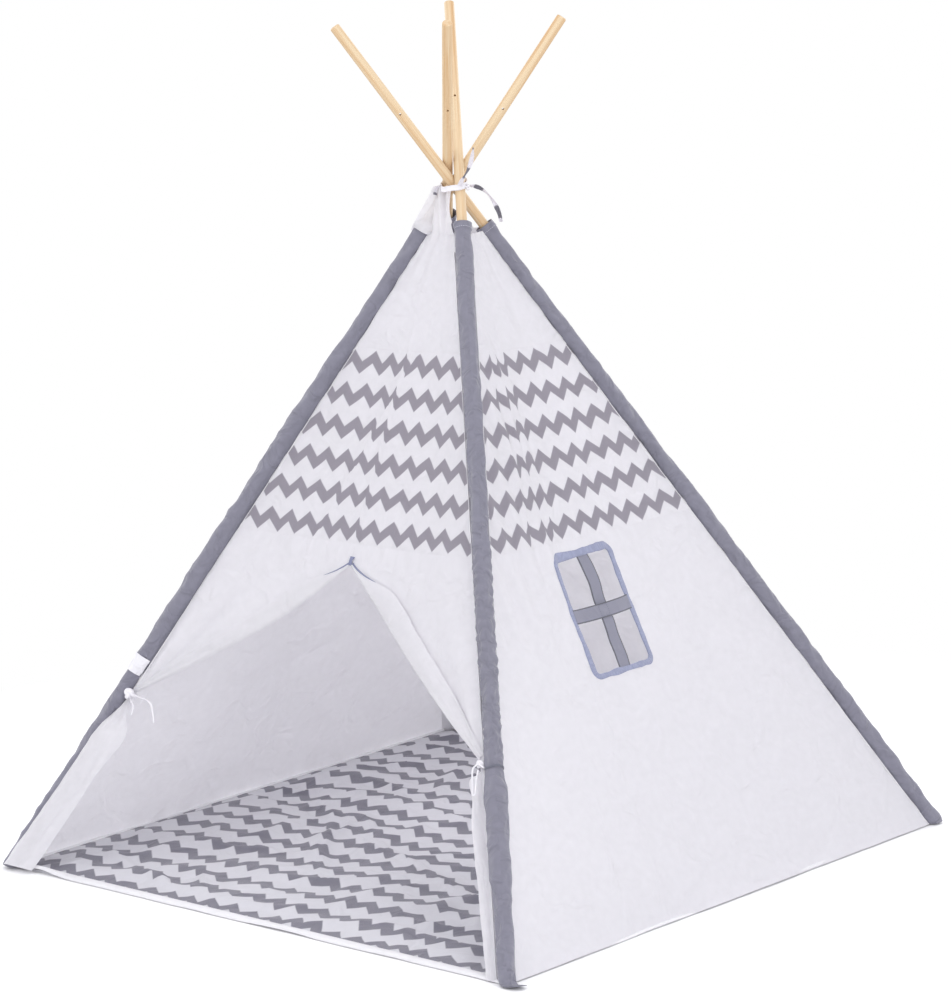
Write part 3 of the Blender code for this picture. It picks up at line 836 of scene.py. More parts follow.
def tape_knot(
    name: str, centre: Vector, facing: Vector, size: float, thick: float
) -> bpy.types.Object:
    """Tie a small three-lobed knot.

    Args:
        name: The piece's name.
        centre: The knot's middle.
        facing: The direction that its broad side faces.
        size: Distance of its lobes from the middle in metres.
        thick: Radius of the tape, rolled up in the knot, in metres.

    Returns:
        The new object.
    """
    turned = facing.to_track_quat("Z", "Y").to_matrix()
    rows = 96

    def spine(share: float) -> Vector:
        """Point of the line that the rolled tape follows."""
        turn = math.tau * share
        reach = 1 + 0.55 * math.cos(3 * turn)
        flat_spot = Vector((math.cos(2 * turn) * reach, math.sin(2 * turn) * reach * 0.85, 0))
        flat_spot.z = 0.55 * math.sin(3 * turn)
        return centre + turned @ (flat_spot * (size / 1.55))

    def place(share_round: float, share_along: float) -> Vector:
        """Place on the rolled tape, a little flattened and lumpy."""
        ahead = (spine(share_along + 0.004) - spine(share_along - 0.004)).normalized()
        side = ahead.cross(facing).normalized()
        turn = math.tau * share_round
        swell = thick * (1 + 0.12 * math.sin(9 * math.tau * share_along))
        upward = side.cross(ahead) * (math.sin(turn) * swell * 0.8)
        return spine(share_along) + side * (math.cos(turn) * swell) + upward

    flat = plain_cut(thick * math.tau, size * 12)
    return cloth_grid(name, 10, rows, place, CORD_COTTON, flat, closed=True, thickness=thick / 5)


# Poles and sleeves


@dataclass(frozen=True)
class PoleSet:
    """Four round dowels with softened ends and a drilled hole near each tip."""

    length: float = 1.800
    radius: float = 0.009
    end_round: float = 0.0025
    foot_height: float = 0.0092
    hole_radius: float = 0.0022
    hole_from_tip: float = 0.190
    segments: int = 48
    hole_segments: int = 20

    def build(self) -> None:
        """Build and place the four poles."""
        for corner in Corner:
            self.build_pole(corner)

    def build_pole(self, corner: Corner) -> None:
        """Build one pole, drill it and let it ride on its leg.

        Args:
            corner: The corner where the pole stands.
        """
        low = POLES.drop(corner, self.foot_height)
        middle = Matrix.Translation((0, 0, low + self.length / 2))
        builder = self.cylinder(self.radius, self.length, self.segments, middle)
        rims = [edge for edge in builder.edges if edge.verts[0].co.z == edge.verts[1].co.z]
        shape = {"segments": 4, "profile": 0.5, "affect": "EDGES", "material": -1}
        bmesh.ops.bevel(builder, geom=rims, offset=self.end_round, **shape)
        blank = self.rough_object("blank_" + corner.label, builder)
        hole = self.hole_place(corner, low + self.length - self.hole_from_tip)
        builder = self.cylinder(self.hole_radius, self.radius * 4, self.hole_segments, hole)
        drill = self.rough_object("drill_" + corner.label, builder)
        cut = blank.modifiers.new("hole", "BOOLEAN")
        cut.operation = "DIFFERENCE"
        cut.solver = "EXACT"
        cut.object = drill
        drilled = finished_mesh(blank)
        bpy.data.objects.remove(blank)
        bpy.data.objects.remove(drill)
        pole = shown_object("pine_pole_" + corner.label, drilled, PINE)
        drilled.set_sharp_from_angle(angle=math.radians(40))
        dowel = drilled.attributes.new("dowel", "FLOAT_VECTOR", "POINT")
        dowel.data.foreach_set("vector", [part for vert in drilled.vertices for part in vert.co])
        drilled.transform(POLES.placement(corner))
        dress(pole, "pine", "leg_" + corner.label, "pole_" + corner.label)
        LOG.info("pole %s", corner.label)

    def hole_place(self, corner: Corner, distance: float) -> Matrix:
        """Where the rope hole is drilled, facing the corner between door and window.

        Args:
            corner: The corner where the pole stands.
            distance: Distance of the hole along the unturned pole.

        Returns:
            The drill's place and turn.
        """
        way = POLES.placement(corner).to_3x3().inverted() @ POLES.direction(Corner.FRONT)
        way = Vector((way.x, way.y, 0)).normalized()
        turn = way.to_track_quat("Z", "Y").to_matrix().to_4x4()
        return Matrix.Translation((0, 0, distance)) @ turn

    @staticmethod
    def cylinder(radius: float, depth: float, segments: int, spot: Matrix) -> bmesh.types.BMesh:
        """Start a builder with a capped cylinder whose middle lies at the spot.

        Args:
            radius: The cylinder's radius.
            depth: Its length.
            segments: Its number of sides.
            spot: Where its middle lies and how it is turned.

        Returns:
            The builder.
        """
        builder = bmesh.new()
        size = {"radius1": radius, "radius2": radius, "depth": depth, "segments": segments}
        bmesh.ops.create_cone(builder, cap_ends=True, matrix=spot, **size)
        return builder

    @staticmethod
    def rough_object(name: str, builder: bmesh.types.BMesh) -> bpy.types.Object:
        """Put a bare shape in the scene, to cut or be cut."""
        item = bpy.data.objects.new(name, mesh_of(builder, name))
        bpy.context.scene.collection.objects.link(item)
        return item


@dataclass(frozen=True)
class SleeveSet:
    """Loose cloth tubes round the poles, hemmed at the top and closed at the foot."""

    radius: float = 0.0148
    least_radius: float = 0.0118
    inner_radius: float = 0.0166
    most_radius: float = 0.0215
    top_outer: float = 1.140
    top_inner: float = 1.128
    foot_height: float = 0.0092
    hem: float = 0.013
    hem_swell: float = 0.7 * MILLIMETRE
    slack: float = 0.0026
    crease: float = 0.0019
    ruche: float = 0.0030
    ruche_length: float = 0.021
    full: float = 0.0042
    pinch: float = 0.0022
    toe_length: float = 0.020
    open_toe: float = 0.036
    toe_share: float = 0.55
    toe_curl: float = 0.007
    softness: float = 0.0025
    columns: int = 44
    rows: int = 440
    toe_rows: int = 24
    seam_radius: float = 0.0198
    seam_turn: float = math.radians(112)
    seam_top: float = 1.100
    seam_foot: float = 0.014

    def top(self, corner: Corner) -> float:
        """Height of a sleeve's open end."""
        return self.top_outer if corner in (Corner.FRONT, Corner.BACK) else self.top_inner

    def radius_at(self, corner: Corner, turn: float, run: float) -> float:
        """Radius of the loose cloth.

        Args:
            corner: The sleeve's corner.
            turn: Angle round the pole, zero on the outer side.
            run: Distance down the sleeve from its top.

        Returns:
            The radius in metres.
        """
        seed = 7.3 * corner.value
        ring = Vector((math.cos(turn), math.sin(turn), 0))
        slow = wobble(ring.x * 0.9, ring.y * 0.9, run / 0.120 + seed)
        fine = wobble(ring.x * 1.6, ring.y * 1.6, run / 0.020 - seed)
        twist = ring.y * 0.8 + run / 0.05
        fold = 1 - 2.4 * abs(wobble(ring.x * 0.8, twist, run / 0.062 + seed))
        loose = self.slack * slow + self.crease * (0.4 * fine + fold - 0.6)
        loose += self.ruched(corner, ring, run) + self.fullness(corner, run)
        loose -= self.pinched(corner, run)
        most = mix(self.inner_radius, self.most_radius, ease((ring.x + 0.5) / 0.7))
        return clamp(self.radius + loose, self.least_radius, most)

    def share_down(self, corner: Corner, run: float) -> float:
        """Share of the sleeve's length passed at a distance from its top."""
        return run / abs(POLES.drop(corner, self.top(corner)) - POLES.drop(corner, 0))

    def fullness(self, corner: Corner, run: float) -> float:
        """Extra looseness: at the left sleeve's middle and the front one's lower end.

        Args:
            corner: The pole's corner.
            run: Distance down the sleeve from its top.

        Returns:
            How far the cloth stands out, in metres.
        """
        share = self.share_down(corner, run)
        if corner is Corner.FRONT:
            return self.full * swell_between(share, 0.735, 0.03, 0.86, 0.04)
        if corner is Corner.LEFT:
            return self.full * swell_between(share, 0.16, 0.06, 0.58, 0.14)
        return self.full * 0.3 * swell_between(share, 0.2, 0.2, 0.8, 0.15)

    def ruched(self, corner: Corner, ring: Vector, run: float) -> float:
        """Rings of gathered cloth, strongest half way down the front sleeve.

        Args:
            corner: The sleeve's corner.
            ring: Direction from the pole, level and one long.
            run: Distance down the sleeve from its top.

        Returns:
            How far the cloth stands out, in metres.
        """
        share = self.share_down(corner, run)
        strength = swell_between(share, 0.38, 0.08, 0.68, 0.08)
        if corner is not Corner.FRONT:
            strength = 0.10 * ease((share - 0.15) / 0.2)
        wander = wobble(ring.x * 0.9, ring.y * 0.9, run / 0.05 + corner.value)
        patch = 0.75 + 0.9 * wobble(ring.x * 1.4, ring.y * 1.4, run / 0.045 + 4)
        scallop = abs(math.sin(math.pi * run / self.ruche_length + 3.4 * wander))
        pucker = wobble(ring.x * 1.7, ring.y * 1.7, run / 0.0105)
        return strength * (self.ruche * patch * (scallop - 0.62) + self.ruche * 0.5 * pucker)

    def pinched(self, corner: Corner, run: float) -> float:
        """How far the door tie draws the front sleeve in, less its swelling under the tie.

        Args:
            corner: The pole's corner.
            run: Distance down the sleeve from its top.

        Returns:
            How far the cloth is drawn in, in metres.
        """
        if corner is not Corner.FRONT:
            return 0.0
        tie = POLES.drop(corner, self.top(corner)) - POLES.drop(corner, DOOR.tie_middle())
        drawn = bell(run - tie, 0.009)
        swollen = bell(run - tie - 0.030, 0.020)
        return self.pinch * (drawn - 0.5 * swollen)

    def settled(self, spot: Vector) -> Vector:
        """Let the cloth lie on the floor instead of passing through it."""
        depth = (spot.z - MILLIMETRE) / self.softness
        rise = depth if depth > 20 else math.log1p(math.exp(depth))
        return Vector((spot.x, spot.y, MILLIMETRE + self.softness * rise))

    def tube_point(self, corner: Corner, turn: float, run: float, lift: float = 0.0) -> Vector:
        """Place on a sleeve's loose cloth, or a little off it.

        Args:
            corner: The sleeve's corner.
            turn: Angle round the pole.
            run: Distance down the sleeve from its top.
            lift: Distance off the cloth.

        Returns:
            The place in metres.
        """
        radius = self.radius_at(corner, turn, run) + lift
        return POLES.around(corner, radius, turn, POLES.drop(corner, self.top(corner)) - run)

    def build(self) -> None:
        """Build and place the four sleeves with their hems and seams."""
        for corner in Corner:
            self.build_sleeve(corner)
            self.build_hem(corner)
            self.build_seam(corner)

    def toe_point(self, corner: Corner, turn: float, share: float, end_run: float) -> Vector:
        """Place on the sleeve's empty end, which runs past the pole and flattens on the floor.

        Args:
            corner: The sleeve's corner.
            turn: Angle round the tube.
            share: How far along the toe.
            end_run: Distance along the sleeve to the pole's end.

        Returns:
            The place in metres.
        """
        open_end = corner is Corner.FRONT
        narrow = mix(1, 1 if open_end else self.toe_share, share**2)
        radius = self.radius_at(corner, turn, end_run) * narrow
        length = self.open_toe if open_end else self.toe_length
        drop = POLES.drop(corner, self.foot_height) - length * share
        spot = self.settled(POLES.around(corner, radius, turn, drop))
        curl = self.toe_curl * share**2
        if open_end:
            aside = 2.4 * self.toe_curl * share**1.5
            spot += UP.cross(POLES.direction(corner)) * aside
            curl *= 0.7 + 0.5 * math.cos(turn)
        return spot + UP * (curl * (0.3 if corner is Corner.RIGHT else 0.8))

    def build_sleeve(self, corner: Corner) -> None:
        """Build one sleeve down to its toe.

        Args:
            corner: The sleeve's corner.
        """
        top = self.top(corner)
        run_total = abs(POLES.drop(corner, top) - POLES.drop(corner, self.foot_height))
        tube_share = 1 - self.toe_rows / self.rows

        def place(share_round: float, share_down: float) -> Vector:
            """Place on the tube, or on the toe at its end."""
            turn = math.tau * share_round
            if share_down > tube_share:
                share = (share_down - tube_share) / (1 - tube_share)
                return self.toe_point(corner, turn, share, run_total)
            return self.settled(self.tube_point(corner, turn, run_total * share_down / tube_share))

        def close_toe(builder: bmesh.types.BMesh) -> None:
            """Close the low end of every sleeve but the front one, which stays open."""
            ends = [edge for edge in builder.edges if edge.is_boundary]
            low_ends = [edge for edge in ends if all(vert.co.z < top / 2 for vert in edge.verts)]
            if corner is not Corner.FRONT:
                bmesh.ops.contextual_create(builder, geom=low_ends)
                caps = [cell for cell in builder.faces if len(cell.verts) > 4]
                bmesh.ops.triangulate(builder, faces=caps)

        name = "sleeve_cloth_" + corner.label
        flat_size = (math.tau * self.radius, run_total + self.toe_length)
        ways = {"flat": plain_cut(*flat_size), "closed": True, "last_step": close_toe}
        sleeve = cloth_grid(name, self.columns, self.rows, place, SLEEVE_COTTON, **ways)
        dress(sleeve, "sleeve_cotton", "leg_" + corner.label, "sleeve_" + corner.label)
        LOG.info("sleeve %s", corner.label)

    def build_hem(self, corner: Corner) -> None:
        """Turn the open end down over itself and stitch it.

        Args:
            corner: The sleeve's corner.
        """

        def place(share_round: float, share_down: float) -> Vector:
            """Place on the hem, which starts just above the sleeve's end."""
            run = self.hem * share_down - MILLIMETRE / 2
            return self.tube_point(corner, math.tau * share_round, run, self.hem_swell)

        flat = plain_cut(math.tau * self.radius, self.hem)
        name = "sleeve_hem_" + corner.label
        hem = cloth_grid(name, self.columns, 6, place, SLEEVE_COTTON, flat, closed=True)
        turns = [math.tau * step / 60 for step in range(61)]
        line = [self.tube_point(corner, turn, self.hem * 0.8, 1.3 * MILLIMETRE) for turn in turns]
        name = "sleeve_hem_stitches_" + corner.label
        for piece in (hem, stitch_row(name, line, PALE_THREAD, 0.0034, 0.0008, 0.00045)):
            dress(piece, "sleeve_cotton", "leg_" + corner.label)

    def build_seam(self, corner: Corner) -> None:
        """The doubled white seam allowance that lies over the inner side of the sleeve.

        Args:
            corner: The sleeve's corner.
        """

        def place(share_round: float, share_down: float) -> Vector:
            """Place on the strip, inside the corner."""
            turn = math.pi + self.seam_turn * (share_round - 0.5)
            drop = POLES.drop(corner, mix(self.seam_top, self.seam_foot, share_down))
            wave = wobble(share_round * 2, share_down * 30, corner.value)
            radius = self.seam_radius + MILLIMETRE * max(0.0, wave)
            return POLES.around(corner, radius, turn, drop)

        flat = plain_cut(self.seam_turn * self.seam_radius, 1)
        inward = -POLES.direction(corner)
        name = "corner_seam_" + corner.label
        seam = cloth_grid(name, 12, 200, place, HEM_COTTON, flat, inward, thickness=0.0008)
        dress(seam, "white_cotton", "leg_" + corner.label)


SLEEVES = SleeveSet()


# Cover


@dataclass(frozen=True)
class DoorLine:
    """The folded edge of the doorway, from its peak down to the ties."""

    peak: float = 0.578
    tie_height: float = 0.318
    neck: float = 0.014
    reach_share: float = 0.963
    slack_left: float = 0.030
    slack_right: float = 0.013

    def across(self, half: Half, height: float) -> float:
        """Distance of the edge from the middle.

        Args:
            half: The side of the doorway.
            height: Height above the floor.

        Returns:
            The distance in metres, zero above the peak.
        """
        if height >= self.peak:
            return 0.0
        down = (self.peak - height) / (self.peak - self.tie_height)
        reach = POLES.half_width(Face.DOOR, self.tie_height) * self.reach_share
        slack = self.slack_left if half is Half.LEFT else self.slack_right
        return reach * down - slack * math.sin(math.pi * down)

    def tie_across(self, half: Half) -> float:
        """Distance of the tie from the middle."""
        return self.across(half, self.tie_height)

    def tie_middle(self) -> float:
        """Height of the middle of the ties, where the cloth is drawn into its neck."""
        return self.tie_height - self.neck / 2


DOOR = DoorLine()


@dataclass(frozen=True)
class Pleat:
    """A tuck in a face's band that swallows a little of the print."""

    face: Face
    top_across: float
    low_across: float
    depth: float
    sharp: float = 0.004
    width: float = 0.007

    def away(self, across: float, height: float) -> float:
        """Distance from the tuck's line, which leans across the band."""
        share = (height - COVER.band_bottom) / COVER.band_height()
        return across - mix(self.low_across, self.top_across, share)

    def swallowed(self, across: float, height: float) -> float:
        """Width of cloth hidden in the tuck, for a place beyond it."""
        return self.depth * ease(self.away(across, height) / self.sharp + 0.5)

    def ridge(self, across: float, height: float) -> float:
        """Share by which the tuck's fold stands up."""
        return bell(self.away(across, height), self.width)


PLEATS = (
    Pleat(Face.DOOR, -0.006, -0.010, 0.012),
    Pleat(Face.DOOR, 0.020, -0.110, 0.008),
    Pleat(Face.WINDOW, -0.088, -0.150, 0.014),
    Pleat(Face.WINDOW, -0.070, -0.105, 0.016),
    Pleat(Face.WINDOW, -0.045, -0.085, 0.012),
)


@dataclass(frozen=True)
class CoverCloth:
    """The hanging cover: how far each face's cloth stands out from flat.

    Places on a face are given by their distance across from its middle fold,
    positive to the right as seen from outside, and their height.
    """

    top: float = 1.120
    band_top: float = 0.915
    band_bottom: float = 0.600
    hem: float = 0.0020
    sag: float = 0.010
    fold: float = 0.005
    folds_across: float = 2.5
    gather: float = 0.0030
    pucker: float = 0.0020
    crease: float = 0.0022
    tuck_rise: float = 0.0022
    seam_dip: float = 0.0012
    broad_wave: float = 0.0035
    hem_wave: float = 0.006
    side_pleat: float = 0.0032
    tie_fold: float = 0.0042
    sleeve_tuck: float = 0.0030
    seam_rise: float = 0.006
    seam_lift: float = 0.012
    lift_start: float = 0.588
    wrap_radius: float = 0.0184
    wrap_turn: float = math.radians(53)
    print_drop: float = 0.014
    print_pull: float = 0.005
    cell: float = 0.0055

    def stand(self, face: Face, across: float, height: float) -> float:
        """How far the cloth stands out from the flat face.

        Args:
            face: The face.
            across: Distance from the middle fold.
            height: Height above the floor.

        Returns:
            The distance in metres.
        """
        reach = POLES.half_width(face, height)
        share = clamp((across / reach + 1) / 2)
        low = 1 - height / POLES.height
        belly = math.sin(math.pi * share)
        out = -self.sag * belly * math.sin(math.pi * low)
        out += self.fold * math.sin(math.tau * self.folds_across * share) * belly * low
        out += self.small_folds(face, across, height, reach, belly)
        if face is Face.DOOR and height < self.band_top:
            out += self.tie_folds(across, height)
        if face is Face.WINDOW:
            out += self.side_pleats(across, height, reach)
        level = swell_between(height, self.band_bottom - 0.05, 0.08, self.band_top, 0.05)
        for pleat in PLEATS:
            if pleat.face is face and level > 0:
                out += self.tuck_rise * pleat.ridge(across, height) * level
        return out

    def small_folds(
        self, face: Face, across: float, height: float, reach: float, belly: float
    ) -> float:
        """Gathers, puckers by the seams and soft creases.

        Args:
            face: The face.
            across: Distance from the middle fold.
            height: Height above the floor.
            reach: Half the face's width at this height.
            belly: Share of the cloth's freedom: one in the middle, zero at the sleeves.

        Returns:
            How far they stand out, in metres.
        """
        seed = 11.7 * face.value
        run = height * POLES.slope_factor()
        down = (self.top - height) / (self.top - self.band_bottom)
        edge = max(0.0, reach - abs(across))
        gather = math.sin(math.tau * 4.5 * across / reach / 2 + seed) * math.exp(-down * 4)
        out = self.gather * gather * belly
        out += self.pucker * wobble(edge / 0.06, run / 0.028, seed) * math.exp(-edge / 0.035)
        for seam in (self.band_top, self.band_bottom):
            near = math.exp(-abs(height - seam) / 0.030)
            out += self.pucker * near * wobble(across / 0.014, seam * 9, seed) * belly
            out -= self.seam_dip * bell(height - seam, 0.0045)
        bend = wobble(across / 0.30, run / 0.42, seed + 3)
        ridge = 1 - 2 * abs(wobble(across / 0.085 + bend, run / 0.16 + bend * 2, seed + 5))
        second = wobble(across / 0.055 + run / 0.11, run / 0.21, seed + 8)
        out += self.crease * (ridge - 0.5 + 0.5 * second) * min(1, belly * 1.6)
        out += self.broad_wave * bend * belly
        hem_near = math.exp(-(height - self.hem) / 0.07)
        return out + self.hem_wave * wobble(across / 0.13, 0.4, seed + 2) * hem_near * belly

    def tie_folds(self, across: float, height: float) -> float:
        """Folds of the door face that fan out from its two ties.

        Args:
            across: Distance from the middle fold.
            height: Height above the floor.

        Returns:
            How far they stand out, in metres.
        """
        half = Half.LEFT if across < 0 else Half.RIGHT
        aside = (across - DOOR.tie_across(half) * half.value) * -half.value
        above = (height - DOOR.tie_height) * POLES.slope_factor()
        distance = math.hypot(aside, above)
        angle = math.atan2(above, aside)
        wander = 2.0 * wobble(angle * 2, 0.3, half.value)
        fan = math.sin(angle * 13 + half.value * 0.8 + wander)
        grow = swell_between(distance, 0, 0.10, 0.16, 0.30)
        return self.tie_fold * fan * grow * ease(abs(across) / 0.06)

    def side_pleats(self, across: float, height: float, reach: float) -> float:
        """How far the pleats in the window face beside the front sleeve stand out."""
        near = swell_between(-across / reach, 0.25, 0.2, 0.90, 0.1)
        level = swell_between(height, 0.40, 0.15, 0.88, 0.12)
        return self.side_pleat * math.sin(across * math.tau / 0.052 + height * 5) * near * level

    def hung(self, face: Face, across: float, height: float) -> float:
        """Height of the cloth as hung: both front bands ride up toward the front sleeve.

        Args:
            face: The face.
            across: Distance from the middle fold.
            height: Height on the cloth as cut.

        Returns:
            Height above the floor.
        """
        toward = {Face.DOOR: 1, Face.WINDOW: -1}.get(face, 0)
        share = clamp(0.5 + across / (2 * POLES.half_width(face, height)) * toward) * abs(toward)
        above = 1 - ease((height - self.band_top) / (self.top - self.band_top))
        lift = self.seam_rise + self.seam_lift * share
        return height + lift * ease((height - self.lift_start) / 0.012) * above

    def point(self, face: Face, across: float, height: float, lift: float = 0.0) -> Vector:
        """Place of the cloth, which wraps the inner side of its sleeve past its edge.

        Args:
            face: The face.
            across: Distance from the middle fold.
            height: Height on the cloth as cut.
            lift: Distance off the cloth.

        Returns:
            The place in metres.
        """
        level = self.hung(face, across, height)
        across *= POLES.half_width(face, level) / POLES.half_width(face, height)
        start = POLES.point(face.left, level)
        end = POLES.point(face.right, level)
        chord = (end - start).normalized()
        stand = self.stand(face, across, height) + lift
        beyond = abs(across) - POLES.half_width(face, level)
        if beyond > 0:
            share = clamp(beyond / (self.wrap_radius * self.wrap_turn))
            away = mix(POLES.edge_inset, self.wrap_radius, ease(share))
            turn = self.wrap_turn * share
            slope = chord.cross(POLES.axis(face.left)).length
            reach = (end - start).length / 2 - away * math.cos(turn) / slope
            across = math.copysign(reach, across)
            stand = stand * (1 - ease(share * 2)) - away * math.sin(turn)
        spot = (start + end) / 2 + chord * across + POLES.normal(face) * stand
        return Vector((spot.x, spot.y, max(spot.z, MILLIMETRE)))

    def flat(self, face: Face, across: float, height: float) -> Vector:
        """Place on the flat cloth, pulled a little so that its print wanders as when sewn.

        Args:
            face: The face.
            across: Distance from the middle fold.
            height: Height on the cloth as cut.

        Returns:
            Distance across, and down the slope from the band's top.
        """
        down = (self.band_top - height) * POLES.slope_factor()
        pull = wobble(across / 0.045, down / 0.12, face.value * 5.1)
        lean = wobble(across / 0.09, down / 0.05, face.value * 5.1 + 2)
        tucked = sum(pleat.swallowed(across, height) for pleat in PLEATS if pleat.face is face)
        spread = across + tucked + self.print_pull * pull
        return Vector((spread, down + self.print_drop + self.print_pull * 0.4 * lean))

    def band_height(self) -> float:
        """Height of the chevron band."""
        return self.band_top - self.band_bottom

    def edge(self, face: Face, height: float) -> float:
        """Distance from the middle fold to just under the edge of the sleeve."""
        return POLES.half_width(face, height) + self.sleeve_tuck

    def outer(self, face: Face, height: float) -> float:
        """Distance from the middle fold to the cloth's end, round the inside of its sleeve."""
        return POLES.half_width(face, height) + self.wrap_radius * self.wrap_turn


COVER = CoverCloth()


def hang(item: bpy.types.Object, face: Face, half: Half, node: str, slot: str) -> None:
    """Hide the solid that a cloth piece stands for and bake its placement into its mesh.

    Args:
        item: The cloth piece.
        face: The face that it belongs to.
        half: The half of the face.
        node: The solid that it stands for.
        slot: Not used.
    """
    corner = face.corner(half)
    axis = POLES.axis(corner)
    inward = POLES.chord(face, 0).normalized() * -half.value
    inward = (inward - axis * inward.dot(axis)).normalized()
    base = POLES.crossing(corner)
    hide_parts(node)
    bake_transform(item)


@dataclass(frozen=True)
class FacePanel:
    """One sewn piece of half a face, between two heights."""

    face: Face
    half: Half
    part: str
    low: float
    high: float
    finish: Finish
    slot: str
    least_cells: int = 10
    width_steps: int = 40

    def build(self) -> None:
        """Build the panel and hang it."""
        widest = COVER.outer(self.face, self.low)
        columns = max(self.least_cells, round(widest / COVER.cell))
        rows = max(self.least_cells, round((self.high - self.low) / COVER.cell))

        def spot(share_across: float, share_up: float) -> tuple[float, float]:
            """Distance from the middle fold, and height."""
            height = mix(self.low, self.high, share_up)
            return mix(self.inner(height), COVER.outer(self.face, height), share_across), height

        panel = self.cloth(columns, rows, spot)
        steps = [step / self.width_steps for step in range(self.width_steps + 1)]
        heights = [mix(self.low, self.high, share) for share in steps]
        widths = [COVER.outer(self.face, height) - self.inner(height) for height in heights]
        self.finish_cloth(panel)

    def cloth(
        self, columns: int, rows: int, spot: Callable, skip: Optional[Skip] = None
    ) -> bpy.types.Object:
        """Make the panel's cloth.

        Args:
            columns: Cells across.
            rows: Cells up.
            spot: Gives the distance from the middle fold and the height at two shares.
            skip: Says which cells are left open.

        Returns:
            The new object.
        """

        def place(share_across: float, share_up: float) -> Vector:
            """Place on the hanging cloth."""
            across, height = spot(share_across, share_up)
            return COVER.point(self.face, across * self.half.value, height)

        def flat(share_across: float, share_up: float) -> Vector:
            """Place on the flat cloth."""
            across, height = spot(share_across, share_up)
            return COVER.flat(self.face, across * self.half.value, height)

        out = POLES.normal(self.face)
        name = self.name() + "_cloth"
        return cloth_grid(name, columns, rows, place, self.finish, flat, out, skip=skip)

    def finish_cloth(self, panel: bpy.types.Object) -> None:
        rests = ["sleeve_cloth_" + self.face.corner(self.half).label]
        hang(panel, self.face, self.half, self.name(), self.slot)

    def name(self) -> str:
        """The panel's name as the solid model spells it."""
        return f"{self.face.label}_{self.half.label}_{self.part}"

    def inner(self, height: float) -> float:
        """Distance of the panel's inner edge from the middle fold."""
        return DOOR.across(self.half, height) if self.face is Face.DOOR else 0.0


